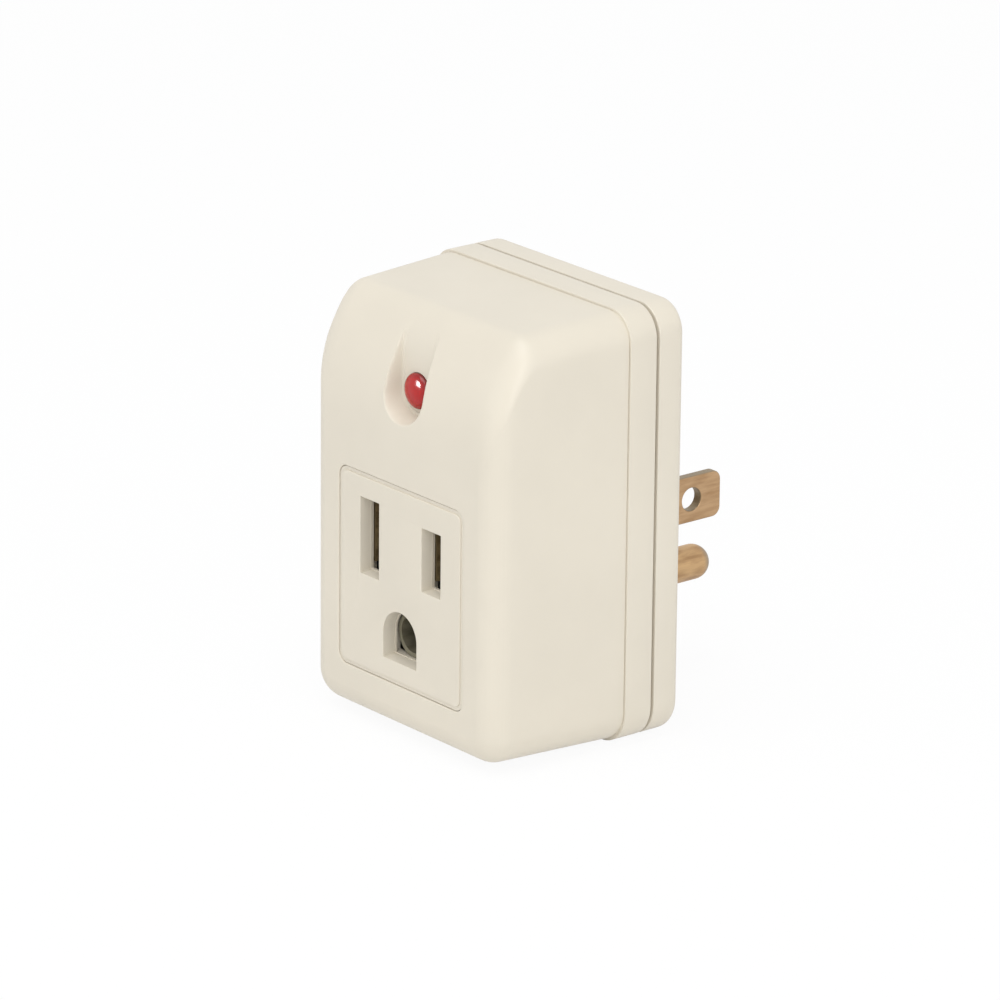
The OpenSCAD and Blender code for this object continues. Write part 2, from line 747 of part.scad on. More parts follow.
// The iron yoke: a foot under the coil, a leg with a round bead, and its pin
module relay_yoke() color(tin) {
    block((hinge_x + bead_r + coil_x - core_r) / 2, relay_z, hinge_x + bead_r - coil_x + core_r,
          yoke_w, relay_floor, relay_floor + foot_t);
    block(hinge_x, relay_z, yoke_t, yoke_w, relay_floor, armature_face);
    translate([hinge_x, -armature_face, relay_z - yoke_w / 2]) cylinder(r = bead_r, h = yoke_w);
    block(hinge_x, relay_z, terminal_t, terminal_t * 2, pin_out, relay_floor);
}

module relay_core() color(tin) bar(coil_x, relay_z, core_r, relay_floor + foot_t, core_tip);

module coil_bobbin() color([0.9, 0.9, 0.88]) difference() {
    union() {
        bar(coil_x, relay_z, bobbin_r, relay_floor + foot_t, bobbin_tip);
        for (d = [relay_floor + foot_t, bobbin_tip - flange_t])
            block(coil_x, relay_z, 2 * bobbin_half, 2 * bobbin_half, d, d + flange_t);
    }
    bar(coil_x, relay_z, core_r + clearance / 5, relay_floor, core_tip);
}

module coil_winding() color([0.72, 0.4, 0.2]) difference() {
    bar(coil_x, relay_z, winding_r, relay_floor + foot_t + flange_t, bobbin_tip - flange_t);
    bar(coil_x, relay_z, bobbin_r, relay_floor, core_tip);
}

module coil_pins() color(tin) for (i = [2, 3]) {
    p = relay_pin_places()[i];
    block(p[0], p[1], terminal_t, terminal_t, pin_out, relay_floor + foot_t);
}

// The armature rocks on the round bead at the end of the yoke
module relay_armature() color(tin) difference() {
    block((armature_end + armature_tail) / 2, relay_z, armature_tail - armature_end, yoke_w,
          armature_face, armature_face + armature_t);
    translate([hinge_x, -armature_face, relay_z - yoke_w])
        cylinder(r = bead_r + bead_gap, h = 2 * yoke_w);
}

// The leaf on the armature's outer face, with the moving contact's button
module contact_spring() color(brass) {
    leaf_start = contact_x - 1.2 * button_r;
    leaf_end = coil_x + core_r;
    outer = armature_face + armature_t;
    block((leaf_start + leaf_end) / 2, relay_z, leaf_end - leaf_start, leaf_w, outer, outer + leaf_t);
    bar(contact_x, relay_z, button_r, outer - button_h, outer + leaf_t / 2);
}

// The fixed contact: a button on a bent terminal that stands in the base
module fixed_contact() color(brass) {
    post_x = relay_pin_places()[0][0];
    left = post_x - terminal_t / 2;
    right = contact_x + button_r;
    under = anvil_face - anvil_h;
    bar(contact_x, relay_z, button_r, under, anvil_face);
    block((left + right) / 2, relay_z, right - left, leaf_w, under - terminal_t, under);
    block(post_x, relay_z, terminal_t, leaf_w, relay_floor, under);
    block(post_x, relay_z, terminal_t, terminal_t * 2, pin_out, relay_floor);
}

// The leaf that hooks over the armature's tail, fixed to the yoke's leg
module return_spring() color(brass) {
    fixed = hinge_x + bead_r;
    near = armature_tail + tail_gap;
    far = near + leaf_t;
    foot = armature_face - spring_len;
    under = armature_face + armature_t + 2 * clearance;
    translate([0, 0, relay_z - leaf_w / 2]) linear_extrude(height = leaf_w) polygon([
        [fixed, -foot], [far, -foot], [far, -under - leaf_t], [fixed, -under - leaf_t],
        [fixed, -under], [near, -under], [near, -foot - leaf_t], [fixed, -foot - leaf_t]
    ]);
}

// Rows of parts with a lead at each end that lie along X on the board
function row(x, first, pitch, count) = [for (i = [0:count - 1]) [x, first - i * pitch]];
diodes = row(diode_x, diode_first, diode_pitch, diode_count);
resistor_row = row(left_x, resistor_first, resistor_pitch, resistor_count);
fuse_row = row(left_x, fuse_z, 0, 1);

module lying(places, r, long) for (p = places)
    translate([p[0] - long / 2, -board_front - r, p[1]]) rotate([0, 90, 0]) cylinder(r = r, h = long);

// Both lead places of each part in a row
function ends(places, long) = [
    for (p = places, sx = [-1, 1]) [p[0] + sx * (long / 2 + lead_r), p[1]]
];

module rectifier_diodes() color([0.12, 0.12, 0.12]) lying(diodes, diode_r, diode_len);
module resistors() color([0.8, 0.7, 0.5]) lying(resistor_row, resistor_r, resistor_len);
module thermal_fuse() color([0.9, 0.9, 0.9]) lying(fuse_row, fuse_r, fuse_len);

module varistor() color([0.15, 0.35, 0.6])
    translate([varistor_x, -varistor_depth, varistor_z - varistor_t / 2])
        cylinder(r = varistor_r, h = varistor_t);

module film_capacitor() color([0.85, 0.7, 0.2])
    block(film_x, film_z, film_w, film_h, board_front, board_front + film_d);

module smoothing_capacitor() color([0.15, 0.2, 0.3])
    bar(can_x, can_z, can_r, board_front, board_front + can_len);

// A small round case with one flat side, on three leads
module driver_transistor() color([0.1, 0.1, 0.1]) difference() {
    bar(transistor_x, transistor_z, transistor_r, board_front + transistor_stand,
        board_front + transistor_stand + transistor_h);
    block(transistor_x, transistor_z + transistor_r * 1.4, 3 * transistor_r, transistor_r * 1.6,
          board_front, board_front + 3 * transistor_h);
}

module control_chip() color([0.1, 0.1, 0.1])
    block(chip_x, chip_z, chip_w, chip_h, board_front, board_front + chip_t);

// Leads that pass through the board: each place, and the depth where the lead ends
varistor_leads = [for (sx = [-1, 1]) [varistor_x + sx * varistor_pitch / 2, varistor_z]];
film_leads = [for (sx = [-1, 1]) [film_x + sx * film_pitch / 2, film_z]];
can_leads = [for (sx = [-1, 1]) [can_x + sx * can_pitch / 2, can_z]];
transistor_leads = [for (i = [-1:1]) [transistor_x + i * transistor_pitch, transistor_z]];
varistor_edge = varistor_depth - sqrt(pow(varistor_r, 2) - pow(varistor_pitch / 2 - lead_r, 2));

function lead_places() = concat(varistor_leads, film_leads, can_leads, transistor_leads,
    ends(diodes, diode_len), ends(resistor_row, resistor_len), ends(fuse_row, fuse_len));

module leads(places, end) for (p = places) bar(p[0], p[1], lead_r, pin_out, end);

module component_leads() color(tin) {
    leads(varistor_leads, varistor_edge);
    leads(concat(film_leads, can_leads), board_front);
    leads(transistor_leads, board_front + transistor_stand);
    leads(ends(diodes, diode_len), board_front + diode_r + lead_r);
    leads(ends(resistor_row, resistor_len), board_front + resistor_r + lead_r);
    leads(ends(fuse_row, fuse_len), board_front + fuse_r + lead_r);
    for (i = [-1.5:1.5], sz = [-1, 1])
        block(chip_x + i * chip_pitch, chip_z + sz * (chip_h + chip_lead) / 2, lead_r, chip_lead,
              board_front, board_front + chip_t / 3);
}

// A wire behind the board: a run along Z, a round bend, and a run along X
module wire(x0, z0, x1, z1) color([0.1, 0.1, 0.1]) translate([0, -wire_depth, 0]) {
    sx = sign(x1 - x0);
    sz = sign(z1 - z0);
    bend = max(1.1 * wire_r, min(wire_bend_r, abs(x1 - x0) - wire_r));
    start = sx < 0 ? (sz > 0 ? 0 : 270) : (sz > 0 ? 90 : 180);
    translate([x0, 0, min(z0, z1 - sz * bend)]) cylinder(r = wire_r, h = abs(z1 - z0) - bend);
    translate([x0 + sx * bend, 0, z1 - sz * bend]) rotate([90, 0, 0])
        rotate([0, 0, start]) rotate_extrude(angle = 90) translate([bend, 0]) circle(wire_r);
    translate([min(x1, x0 + sx * bend), 0, z1]) rotate([0, 90, 0])
        cylinder(r = wire_r, h = abs(x1 - x0) - bend);
}

// From the hot blade's tail to the relay's fixed contact
module line_wire() wire(blade_pitch / 2 + blade_t / 2 + wire_r, -tail_up - blade_tail_w / 2,
                        relay_pin_places()[0][0], line_wire_z);

// From the relay's yoke to the tail of the hot contact
module load_wire() wire(hinge_x, line_wire_z - 1.4 * wire_r, blade_pitch / 2 + contact_t, tail_up);

front_housing();
rear_cover();
cover_screws();
outlet_face();
contact_carrier();
hot_contact();
neutral_contact();
ground_contact();
hot_blade();
neutral_blade();
ground_pin();
neutral_link();
ground_strap();
circuit_board();
indicator_led();
led_leads();
relay_base();
relay_case();
relay_yoke();
relay_core();
coil_bobbin();
coil_winding();
coil_pins();
relay_armature();
contact_spring();
fixed_contact();
return_spring();
varistor();
film_capacitor();
smoothing_capacitor();
rectifier_diodes();
resistors();
driver_transistor();
control_chip();
thermal_fuse();
component_leads();
line_wire();
load_wire();
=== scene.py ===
"""Looks of a plug-in appliance voltage protector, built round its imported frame.

Lengths are millimetres in the part's frame unless a name says otherwise: the wall face is
y = 0, a depth d lies at y = -d, and +Z is up. Meshes are written in metres. An outline is a
list of (x, z) points, counter-clockwise seen from the front.
"""
import json
from math import asin, ceil, cos, hypot, pi, radians, sin, sqrt, tan

import bpy
from mathutils import Matrix, Vector
from mathutils.geometry import delaunay_2d_cdt


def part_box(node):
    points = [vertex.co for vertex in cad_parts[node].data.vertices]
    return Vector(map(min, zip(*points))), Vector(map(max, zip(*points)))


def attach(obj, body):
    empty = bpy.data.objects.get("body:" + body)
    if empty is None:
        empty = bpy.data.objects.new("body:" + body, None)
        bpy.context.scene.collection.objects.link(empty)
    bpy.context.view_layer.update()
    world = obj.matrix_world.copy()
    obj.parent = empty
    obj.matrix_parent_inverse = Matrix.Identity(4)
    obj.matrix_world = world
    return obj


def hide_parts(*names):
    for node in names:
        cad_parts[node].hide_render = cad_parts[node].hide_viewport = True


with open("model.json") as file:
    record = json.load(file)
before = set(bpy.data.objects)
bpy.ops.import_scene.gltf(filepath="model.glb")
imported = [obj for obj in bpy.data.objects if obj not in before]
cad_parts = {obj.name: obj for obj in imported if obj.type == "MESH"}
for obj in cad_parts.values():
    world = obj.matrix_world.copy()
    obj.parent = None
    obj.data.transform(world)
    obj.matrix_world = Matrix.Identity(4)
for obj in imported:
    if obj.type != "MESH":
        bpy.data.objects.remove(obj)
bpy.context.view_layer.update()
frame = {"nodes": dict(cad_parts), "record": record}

MM = 0.001
BODY = "case"


def box_mm(node):
    """Lowest and highest corner of a CAD node, in millimetres."""
    low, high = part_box(node)
    return low / MM, high / MM


# Case, from the frame
CASE_LOW, CASE_HIGH = box_mm("front_housing")
HALF_W, TOP, FOOT = CASE_HIGH.x, CASE_HIGH.z, CASE_LOW.z
DEPTH, SKIRT_BACK = -CASE_LOW.y, -CASE_HIGH.y
TONGUE_END = -box_mm("rear_cover")[0].y

# Case, as moulded
WALL = 2.0
CORNER_R = 4.1
FOOT_CORNER_R = 4.9
GROOVE = 0.45
PARTING_GAP = 0.35
RIM_FRONT = SKIRT_BACK - GROOVE
SKIRT_DEPTH = 4.5
SKIRT_STEP = 0.3
STEP_R = 0.13
STEP_LINE = 0.1
RIM_R = 0.16
COVER_EDGE_R = 1.2
BODY_BACK = SKIRT_BACK - PARTING_GAP / 2 + SKIRT_DEPTH
SIDE_DRAFT = radians(2.4)
END_DRAFT = radians(2.5)
FRONT_EDGE_R = 3.4
BROW_R = 26.5
BROW_Z = 15.0
TOP_BLEND = 1.36
LIP_SHARE = 0.55
LIP_T = WALL * LIP_SHARE
TONGUE_T = WALL / 2
CLEAR = 0.1
FLOOR_GAP = 0.03

# Indicator and its pocket. The pocket's floor is a U whose middle is sunk a little, and its
# wall leans out to the mouth.
LAMP_LOW, LAMP_HIGH = box_mm("indicator_led")
LED_X = (LAMP_LOW.x + LAMP_HIGH.x) / 2
LED_Z = (LAMP_LOW.z + LAMP_HIGH.z) / 2
LED_R = 2.4
LED_BARREL = 5.2
LED_CLEAR = 0.03
LED_HOLE_R = LED_R + LED_CLEAR
POCKET_DEPTH = 3.0
POCKET_FLOOR = DEPTH - POCKET_DEPTH
LED_RISE = -LAMP_LOW.y - POCKET_FLOOR
LED_FLANGE_R, LED_FLANGE_T = 2.8, 1.0
POCKET_FLOOR_R = 3.4
POCKET_MOUTH_R = 3.9
POCKET_WALL = 1.2
POCKET_SLOPE = POCKET_DEPTH / (POCKET_MOUTH_R - POCKET_FLOOR_R)
LIP_BLEND = 1.3
FOOT_BLEND = 0.35
SINK_DEPTH = 0.14
SINK_IN = 0.48
SINK_EDGE = 0.05

# Outlet face. Each hole has a mouth that narrows by TAPER, a LEDGE behind it, a throat, and a
# wider pocket behind the throat.
PLATE_HALF = 12.25
PLATE_TOP = 8.0
PLATE_FOOT = -17.98
PLATE_R = 1.0
PLATE_GAP = 0.58
GAP_DEPTH = 0.22
PLATE_BEVEL = 0.3
BEVEL_DEPTH = 0.14
FLANGE = 1.2
FACE_BACK = DEPTH - WALL - FLANGE
SLOT_HALF = 1.95
NEUTRAL_HALF_H, HOT_HALF_H = 5.2, 4.3
SLOT_LEAD_IN, SLOT_THROAT = 1.6, 2.02
TAPER = 0.22
ARCH_LEAD_IN = 1.85
LEDGE = 0.05
BEHIND_THROAT = 0.6
MOUTH_R = 0.09
TIGHT_R = 0.03
GROUND_Z = -11.9
ARCH_R = 3.45
ARCH_FOOT = 3.45
ARCH_BEHIND = 0.4

# Plug
BLADE_HALF_T = 0.75
BLADE_SHOULDER = 1.4
BLADE_TIP_R = 1.3
BLADE_EDGE_R = 0.3
BLADE_TAIL_HALF, BLADE_TAIL_Z = 1.5, -1.9
HOLE_R = 1.59
HOLE_EDGE_R = 0.2
PIN_R = 2.38
PIN_NECK_OUT = 0.6
PIN_NECK_R = PIN_R + PIN_NECK_OUT
PIN_NECK_STEP = 0.05
PIN_COLLAR_R = 4.0
PUNCH_AT = 12.7

# Screws of the cover
SCREW_HEAD_R = 2.5
SCREW_HEAD_H = 1.6
SCREW_RIM = 0.4
SCREW_R = 1.3
SCREW_LENGTH = 9.0
SEAT_SHARE = 0.9
SCREW_SEAT = WALL * SEAT_SHARE
DRIVER_ARM, DRIVER_HALF_T = 1.25, 0.3
FIRST_TURN, NEXT_TURN = 23, 31
POST_SIDE_IN, POST_END_IN, POST_R = 4.7, 4.9, 2.9
SCREW_PLACES = [(sx * (HALF_W - POST_SIDE_IN), z)
                for sx in (-1, 1) for z in (FOOT + POST_END_IN, TOP - POST_END_IN)]

# Mesh fineness
CORNER_STEPS = 14
ROUND_STEPS = 5
EDGE_STEPS = 12
COVER_EDGE_STEPS = 8
BLADE_TIP_STEPS = 8
PIN_TIP_STEPS = 16
HEAD_STEPS = 12
DOME_STEPS = 20
ARCH_STEPS = 32
ARCH_CORNER_STEPS = 6
CIRCLE_STEPS = 48
LATHE_STEPS = 64
SCREW_STEPS = 40
BROW_STEP = radians(3)
BLEND_STEP, BLEND_STEPS = TOP_BLEND / 5, 8
MIN_STATION = 0.016
POLE_R = 0.01
SHARP_EDGE = radians(30)
SHARP_BESIDE_FLATS = radians(35)
ALONG = cos(radians(35))

# The patch of the front that holds the pocket, and the rows of points in it. Foot and lip
# rows are offsets from the wall's foot and lip, sink rows are in half widths of its edge.
PATCH_HALF = 6.4
PATCH_TOP = 29.4
PATCH_LINES = 26
ROW_SPACING = 0.28
ROW_GAP = 0.09
FOOT_ROWS = (-0.18, -0.08, 0, 0.08, 0.2)
WALL_ROW_SHARE = 0.6
LIP_ROWS = (-0.34, -0.22, -0.12, -0.03, 0.06, 0.16, 0.27, 0.4, 0.6, 0.9)
SINK_ROWS = (-2, -1, -0.3, 0.3, 1, 2)
SLOPE_STEP = 0.01
WITHIN_EDGES = 1
SAME_POINT = 1e-6


class Shell:
    """One surface in the making: points, faces by point number, and given normals."""

    def __init__(self):
        self.points = []
        self.faces = []
        self.normals = {}

    def add(self, x, d, z):
        """Adds a point at depth d and gives its number."""
        self.points.append((x, -d, z))
        return len(self.points) - 1

    def loop(self, outline, d):
        """Adds an outline's points at depth d and gives their numbers."""
        return [self.add(x, d, z) for x, z in outline]

    def bridge(self, a, b):
        """Joins two loops. The faces look outward where b lies in front of a."""
        for i in range(len(a)):
            j = (i + 1) % len(a)
            self.faces.append((a[i], a[j], b[j], b[i]))

    def chain(self, loops):
        """Joins each loop to the next."""
        for a, b in zip(loops, loops[1:]):
            self.bridge(a, b)

    def solid(self, loops):
        """Joins loops from back to front, and closes both ends with one face each."""
        self.chain(loops)
        self.faces.append(tuple(reversed(loops[0])))
        self.faces.append(tuple(loops[-1]))

    def build(self, name):
        """Makes the mesh object."""
        mesh = bpy.data.meshes.new(name)
        mesh.from_pydata([[MM * c for c in p] for p in self.points], [], self.faces)
        mesh.update()
        obj = bpy.data.objects.new(name, mesh)
        bpy.context.scene.collection.objects.link(obj)
        shade(obj)
        if self.normals:
            mesh.normals_split_custom_set(self.corner_normals(mesh))
        return obj

    def corner_normals(self, mesh):
        """The given normal where a face lies along it, and zero, which means the usual one."""
        corners = [(0, 0, 0)] * len(mesh.loops)
        for face in mesh.polygons:
            for k in face.loop_indices:
                given = self.normals.get(mesh.loops[k].vertex_index)
                if given and face.normal.dot(given) > ALONG:
                    corners[k] = given
        return corners


def shade(obj, sharp=SHARP_EDGE):
    """Smooth shading, apart from edges that bend by more than an angle."""
    obj.data.shade_smooth()
    obj.data.set_sharp_from_angle(angle=sharp)


def bake(obj):
    """Applies an object's modifiers to its mesh."""
    graph = bpy.context.evaluated_depsgraph_get()
    mesh = bpy.data.meshes.new_from_object(obj.evaluated_get(graph))
    obj.modifiers.clear()
    obj.data = mesh


def combine(target, tools, operation="DIFFERENCE"):
    """Cuts the tools out of the target, or joins them to it, and removes them."""
    for tool in tools:
        step = target.modifiers.new("step", "BOOLEAN")
        step.solver = "EXACT"
        step.operation = operation
        step.object = tool
    bake(target)
    for tool in tools:
        bpy.data.objects.remove(tool)


def even_flats(obj):
    """Lets a flat face keep its own shading beside a rounded edge."""
    shade(obj, SHARP_BESIDE_FLATS)
    even = obj.modifiers.new("even", "WEIGHTED_NORMAL")
    even.keep_sharp = True
    bake(obj)


def fan(steps, sweep=pi / 2):
    """Evenly spaced angles from zero to a sweep."""
    return [sweep * i / steps for i in range(steps + 1)]


def rounded(half, foot, head, r, lines=(), foot_r=None):
    """Rectangle with round corners, from the right side over the top. lines are the places
    along the top edge that get a point, from right to left, and foot_r the lower corners'
    radius where it differs."""
    points = []
    for quarter in range(4):
        if quarter == 2 and foot_r:
            r = foot_r
        cx = (half - r) if quarter in (0, 3) else (r - half)
        cz = (head - r) if quarter < 2 else (foot + r)
        for i in range(CORNER_STEPS + 1):
            a = (quarter + i / CORNER_STEPS) * pi / 2
            points.append((cx + r * cos(a), cz + r * sin(a)))
        if quarter == 0:
            points += [(x, head) for x in lines]
    return points


def quarter_round(r, steps=ROUND_STEPS, depth=None):
    """(inset, advance) pairs of a rounded edge, from its face to its side. With a depth
    the edge is an ellipse's quarter, r wide and that deep."""
    return [(r * (1 - sin(a)), (depth or r) * (1 - cos(a))) for a in fan(steps)]


def blend_low(a, b, k):
    """The lower of two values, blended over k where they meet."""
    h = max(k - abs(a - b), 0) / k
    return min(a, b) - h * h * k / 4


def blend_high(a, b, k):
    """The higher of two values, blended over k where they meet."""
    return -blend_low(-a, -b, k)


# The body's form. inside is zero for its outside, and else how far in its inside lies.

def edge_in(d, inside):
    """How far the front's round edge has drawn the sides in at a depth."""
    left = d - DEPTH + FRONT_EDGE_R
    if left <= 0:
        return inside
    return FRONT_EDGE_R - sqrt(max(0, (FRONT_EDGE_R - inside) ** 2 - left ** 2))


def brow_height(d, inside):
    """Height of the brow's arc at a depth."""
    ahead = max(0, BROW_R - DEPTH + d)
    return BROW_Z + sqrt(max(0, (BROW_R - inside) ** 2 - ahead ** 2))


def brow_depth(z, inside):
    """Depth of the brow's arc at a height, and of the flat front below it."""
    rise = max(0, z - BROW_Z)
    return DEPTH - BROW_R + sqrt((BROW_R - inside) ** 2 - rise ** 2)


def patch_lines():
    """Places across the top edge where the patch's lines start."""
    step = 2 * PATCH_HALF / PATCH_LINES
    return [LED_X + PATCH_HALF - i * step for i in range(PATCH_LINES + 1)]


def body_outline(d, inside):
    """The drafted body's outline at a depth."""
    drafted = d - BODY_BACK
    e = edge_in(d, inside)
    half = HALF_W - SKIRT_STEP - drafted * tan(SIDE_DRAFT) - e
    foot = FOOT + SKIRT_STEP + drafted * tan(END_DRAFT) + e
    flat = TOP - SKIRT_STEP - drafted * tan(END_DRAFT) - inside
    head = blend_low(flat, brow_height(d, inside), TOP_BLEND)
    share = drafted / (DEPTH - BODY_BACK)
    foot_r = FOOT_CORNER_R + (CORNER_R - FOOT_CORNER_R) * share
    return rounded(half, foot, head, CORNER_R - e, patch_lines(), foot_r - e)


def case_outline(inset):
    """The outline that skirt and cover share, shrunk by inset."""
    return rounded(HALF_W - inset, FOOT + inset, TOP - inset, CORNER_R - inset, patch_lines(),
                   FOOT_CORNER_R - inset)


def stations(inside):
    """Depths along the body from back to front: steps of the top's blend, of the brow and of
    the front's round edge."""
    r = BROW_R - inside
    top_height = TOP - SKIRT_STEP - inside - (DEPTH - BODY_BACK) * tan(END_DRAFT)
    meet = asin((top_height - BROW_Z) / r)
    depths = {BODY_BACK}
    for i in range(BLEND_STEPS + 1):
        depths.add(DEPTH - BROW_R + r * cos(meet) - i * BLEND_STEP)
    for i in range(1, ceil(meet / BROW_STEP) + 1):
        depths.add(DEPTH - BROW_R + r * cos(meet - i * BROW_STEP))
    for a in fan(EDGE_STEPS):
        depths.add(DEPTH - FRONT_EDGE_R + (FRONT_EDGE_R - inside) * sin(a))
    kept = [DEPTH - inside]
    for d in sorted(depths, reverse=True):
        if kept[-1] - d > MIN_STATION:
            kept.append(d)
    return kept[::-1]


# The indicator's pocket, as a depth at every place of the front

def pocket_side(x, z):
    """Distance outside the pocket's floor, which is a U open at the top."""
    x -= LED_X
    return (abs(x) if z > LED_Z else hypot(x, z - LED_Z)) - POCKET_FLOOR_R


def pocket_depth_at(x, z, inside):
    """Depth of the pocket's floor and wall, with the floor's middle sunk a little."""
    thick = POCKET_WALL if inside else 0
    side = pocket_side(x, z) - thick
    depth = POCKET_FLOOR - thick + blend_high(0, POCKET_SLOPE * side, FOOT_BLEND)
    if not inside:
        into = min(1, max(0, (-side - SINK_IN + SINK_EDGE) / (2 * SINK_EDGE)))
        depth -= SINK_DEPTH * into * into * (3 - 2 * into)
    return depth


def front_at(x, z, inside):
    """Depth of the front: the brow's or the pocket's, whichever lies further back, with a
    blended lip where they meet."""
    return blend_low(brow_depth(z, inside), pocket_depth_at(x, z, inside), LIP_BLEND)


def front_normal(x, z):
    """Direction in which the front's outside faces."""
    step = SLOPE_STEP
    slope_x = (front_at(x + step, z, 0) - front_at(x - step, z, 0)) / (2 * step)
    slope_z = (front_at(x, z + step, 0) - front_at(x, z - step, 0)) / (2 * step)
    return Vector((-slope_x, -1, -slope_z)).normalized()


def pocket_row(share, offset, inside):
    """Points of one U-shaped row, at a share of the way from the wall's foot to its lip."""
    thick = POCKET_WALL if inside else 0

    def side_at(z):
        lip = (brow_depth(z, inside) - POCKET_FLOOR + thick) / POCKET_SLOPE
        return POCKET_FLOOR_R + thick + share * max(0, lip) + offset

    points = []
    count = ceil((PATCH_TOP - LED_Z) / ROW_SPACING)
    for i in range(1, count):
        z = LED_Z + (PATCH_TOP - LED_Z) * i / count
        points += [(LED_X - side_at(z), z), (LED_X + side_at(z), z)]
    r = side_at(LED_Z)
    for a in fan(ceil(pi * POCKET_MOUTH_R / ROW_SPACING), pi):
        points.append((LED_X + r * cos(pi + a), LED_Z + r * sin(pi + a)))
    return points


def pocket_rows(inside):
    """Points along the rows that follow the pocket's foot, wall and lip."""
    rows = [(0, offset) for offset in FOOT_ROWS]
    rows += [(WALL_ROW_SHARE, 0)]
    rows += [(1, offset) for offset in LIP_ROWS]
    if not inside:
        rows += [(0, -SINK_IN + halves * SINK_EDGE) for halves in SINK_ROWS]
    return [point for share, offset in rows for point in pocket_row(share, offset, inside)]


def circle(x, z, r, steps=CIRCLE_STEPS):
    """A circle as an outline."""
    return [(x + r * cos(2 * pi * i / steps), z + r * sin(2 * pi * i / steps))
            for i in range(steps)]


def inside_loop(point, loop):
    """Whether a point lies inside an outline."""
    x, z = point
    found = False
    for i, (x1, z1) in enumerate(loop):
        x0, z0 = loop[i - 1]
        if (z1 > z) != (z0 > z) and x < (x0 - x1) * (z - z1) / (z0 - z1) + x1:
            found = not found
    return found


def window_outline(out):
    """The housing's window for the outlet face, grown by out."""
    return rounded(PLATE_HALF + PLATE_GAP + out, PLATE_FOOT - PLATE_GAP - out,
                   PLATE_TOP + PLATE_GAP + out, PLATE_R + PLATE_GAP + out)


class Spacing:
    """Places sorted into cells, to find out whether a new one keeps ROW_GAP from them."""

    def __init__(self, places):
        self.cells = {}
        for x, z in places:
            self.keep(x, z)

    def keep(self, x, z):
        self.cells.setdefault((round(x / ROW_GAP), round(z / ROW_GAP)), []).append((x, z))

    def is_clear(self, x, z):
        cx, cz = round(x / ROW_GAP), round(z / ROW_GAP)
        near = [place for i in (-1, 0, 1) for k in (-1, 0, 1)
                for place in self.cells.get((cx + i, cz + k), [])]
        return all(hypot(x - px, z - pz) > ROW_GAP for px, pz in near)


class Patch:
    """The part of the front between two lines of the rings and below PATCH_TOP."""

    def __init__(self, shell, rings, inside):
        self.shell, self.rings, self.inside = shell, rings, inside
        self.first = CORNER_STEPS + 1
        self.last = self.first + PATCH_LINES
        self.start = min(k for k, ring in enumerate(rings)
                         if shell.points[ring[self.first]][2] < PATCH_TOP)

    def add_face(self, face):
        """Adds a face that is given as seen from the front."""
        self.shell.faces.append(tuple(reversed(face)) if self.inside else tuple(face))

    def bridge_rings(self):
        """Joins the rings everywhere but in the patch."""
        for k, (a, b) in enumerate(zip(self.rings, self.rings[1:])):
            for i in range(len(a)):
                j = (i + 1) % len(a)
                if k < self.start or not self.first <= i < self.last:
                    self.add_face((a[i], a[j], b[j], b[i]))

    def border(self):
        """The loop round the patch and the flat front together."""
        below = self.rings[self.start + 1:]
        loop = self.rings[-1][:self.first]
        loop += [ring[self.first] for ring in reversed(below)]
        loop += self.rings[self.start][self.first:self.last + 1]
        loop += [ring[self.last] for ring in below]
        return loop + self.rings[-1][self.last + 1:]

    def places(self, loops):
        """Where the points go: on the loops, along the pocket's rows and on the rings."""
        places = [place for loop in loops for place in loop]
        spacing = Spacing(places)
        for x, z in pocket_rows(self.inside):
            within = abs(x - LED_X) < PATCH_HALF - ROW_GAP and z < PATCH_TOP - ROW_GAP
            if within and spacing.is_clear(x, z):
                spacing.keep(x, z)
                places.append((x, z))
        for ring in self.rings[self.start + 1:]:
            for i in ring[self.first + 1:self.last]:
                x, _, z = self.shell.points[i]
                if spacing.is_clear(x, z):
                    places.append((x, z))
        return places


def close_front(shell, rings, inside):
    """Closes the front with the flat, the brow's middle and the pocket in it.
    Returns the loops round the window and round the lamp's hole."""
    patch = Patch(shell, rings, inside)
    patch.bridge_rings()
    border = patch.border()
    flat = [(shell.points[i][0], shell.points[i][2]) for i in border]
    window = window_outline(0 if inside else PLATE_BEVEL)
    lamp = circle(LED_X, LED_Z, LED_HOLE_R)
    edges = []
    for loop in (flat, window, lamp):
        base = len(edges)
        edges += [(base + i, base + (i + 1) % len(loop)) for i in range(len(loop))]
    places = [Vector(place) for place in patch.places([flat, window, lamp])]
    corners, _, faces, origins, *_ = delaunay_2d_cdt(
        places, edges, [], WITHIN_EDGES, SAME_POINT, True)

    index = []
    for corner, given in zip(corners, origins):
        own = [i for i in given if i < len(border)]
        if own:
            index.append(border[own[0]])
        else:
            index.append(shell.add(corner.x, front_at(corner.x, corner.y, inside), corner.y))
        if not inside:
            shell.normals[index[-1]] = front_normal(corner.x, corner.y)
    for face in faces:
        middle = sum((corners[j] for j in face), Vector((0, 0))) / len(face)
        open_here = inside_loop(middle, window) or inside_loop(middle, lamp)
        if inside_loop(middle, flat) and not open_here:
            patch.add_face([index[j] for j in face])

    by_place = {i: index[j] for j, given in enumerate(origins) for i in given}
    window_at = len(border)
    lamp_at = window_at + len(window)
    return ([by_place[window_at + i] for i in range(len(window))],
            [by_place[lamp_at + i] for i in range(len(lamp))])


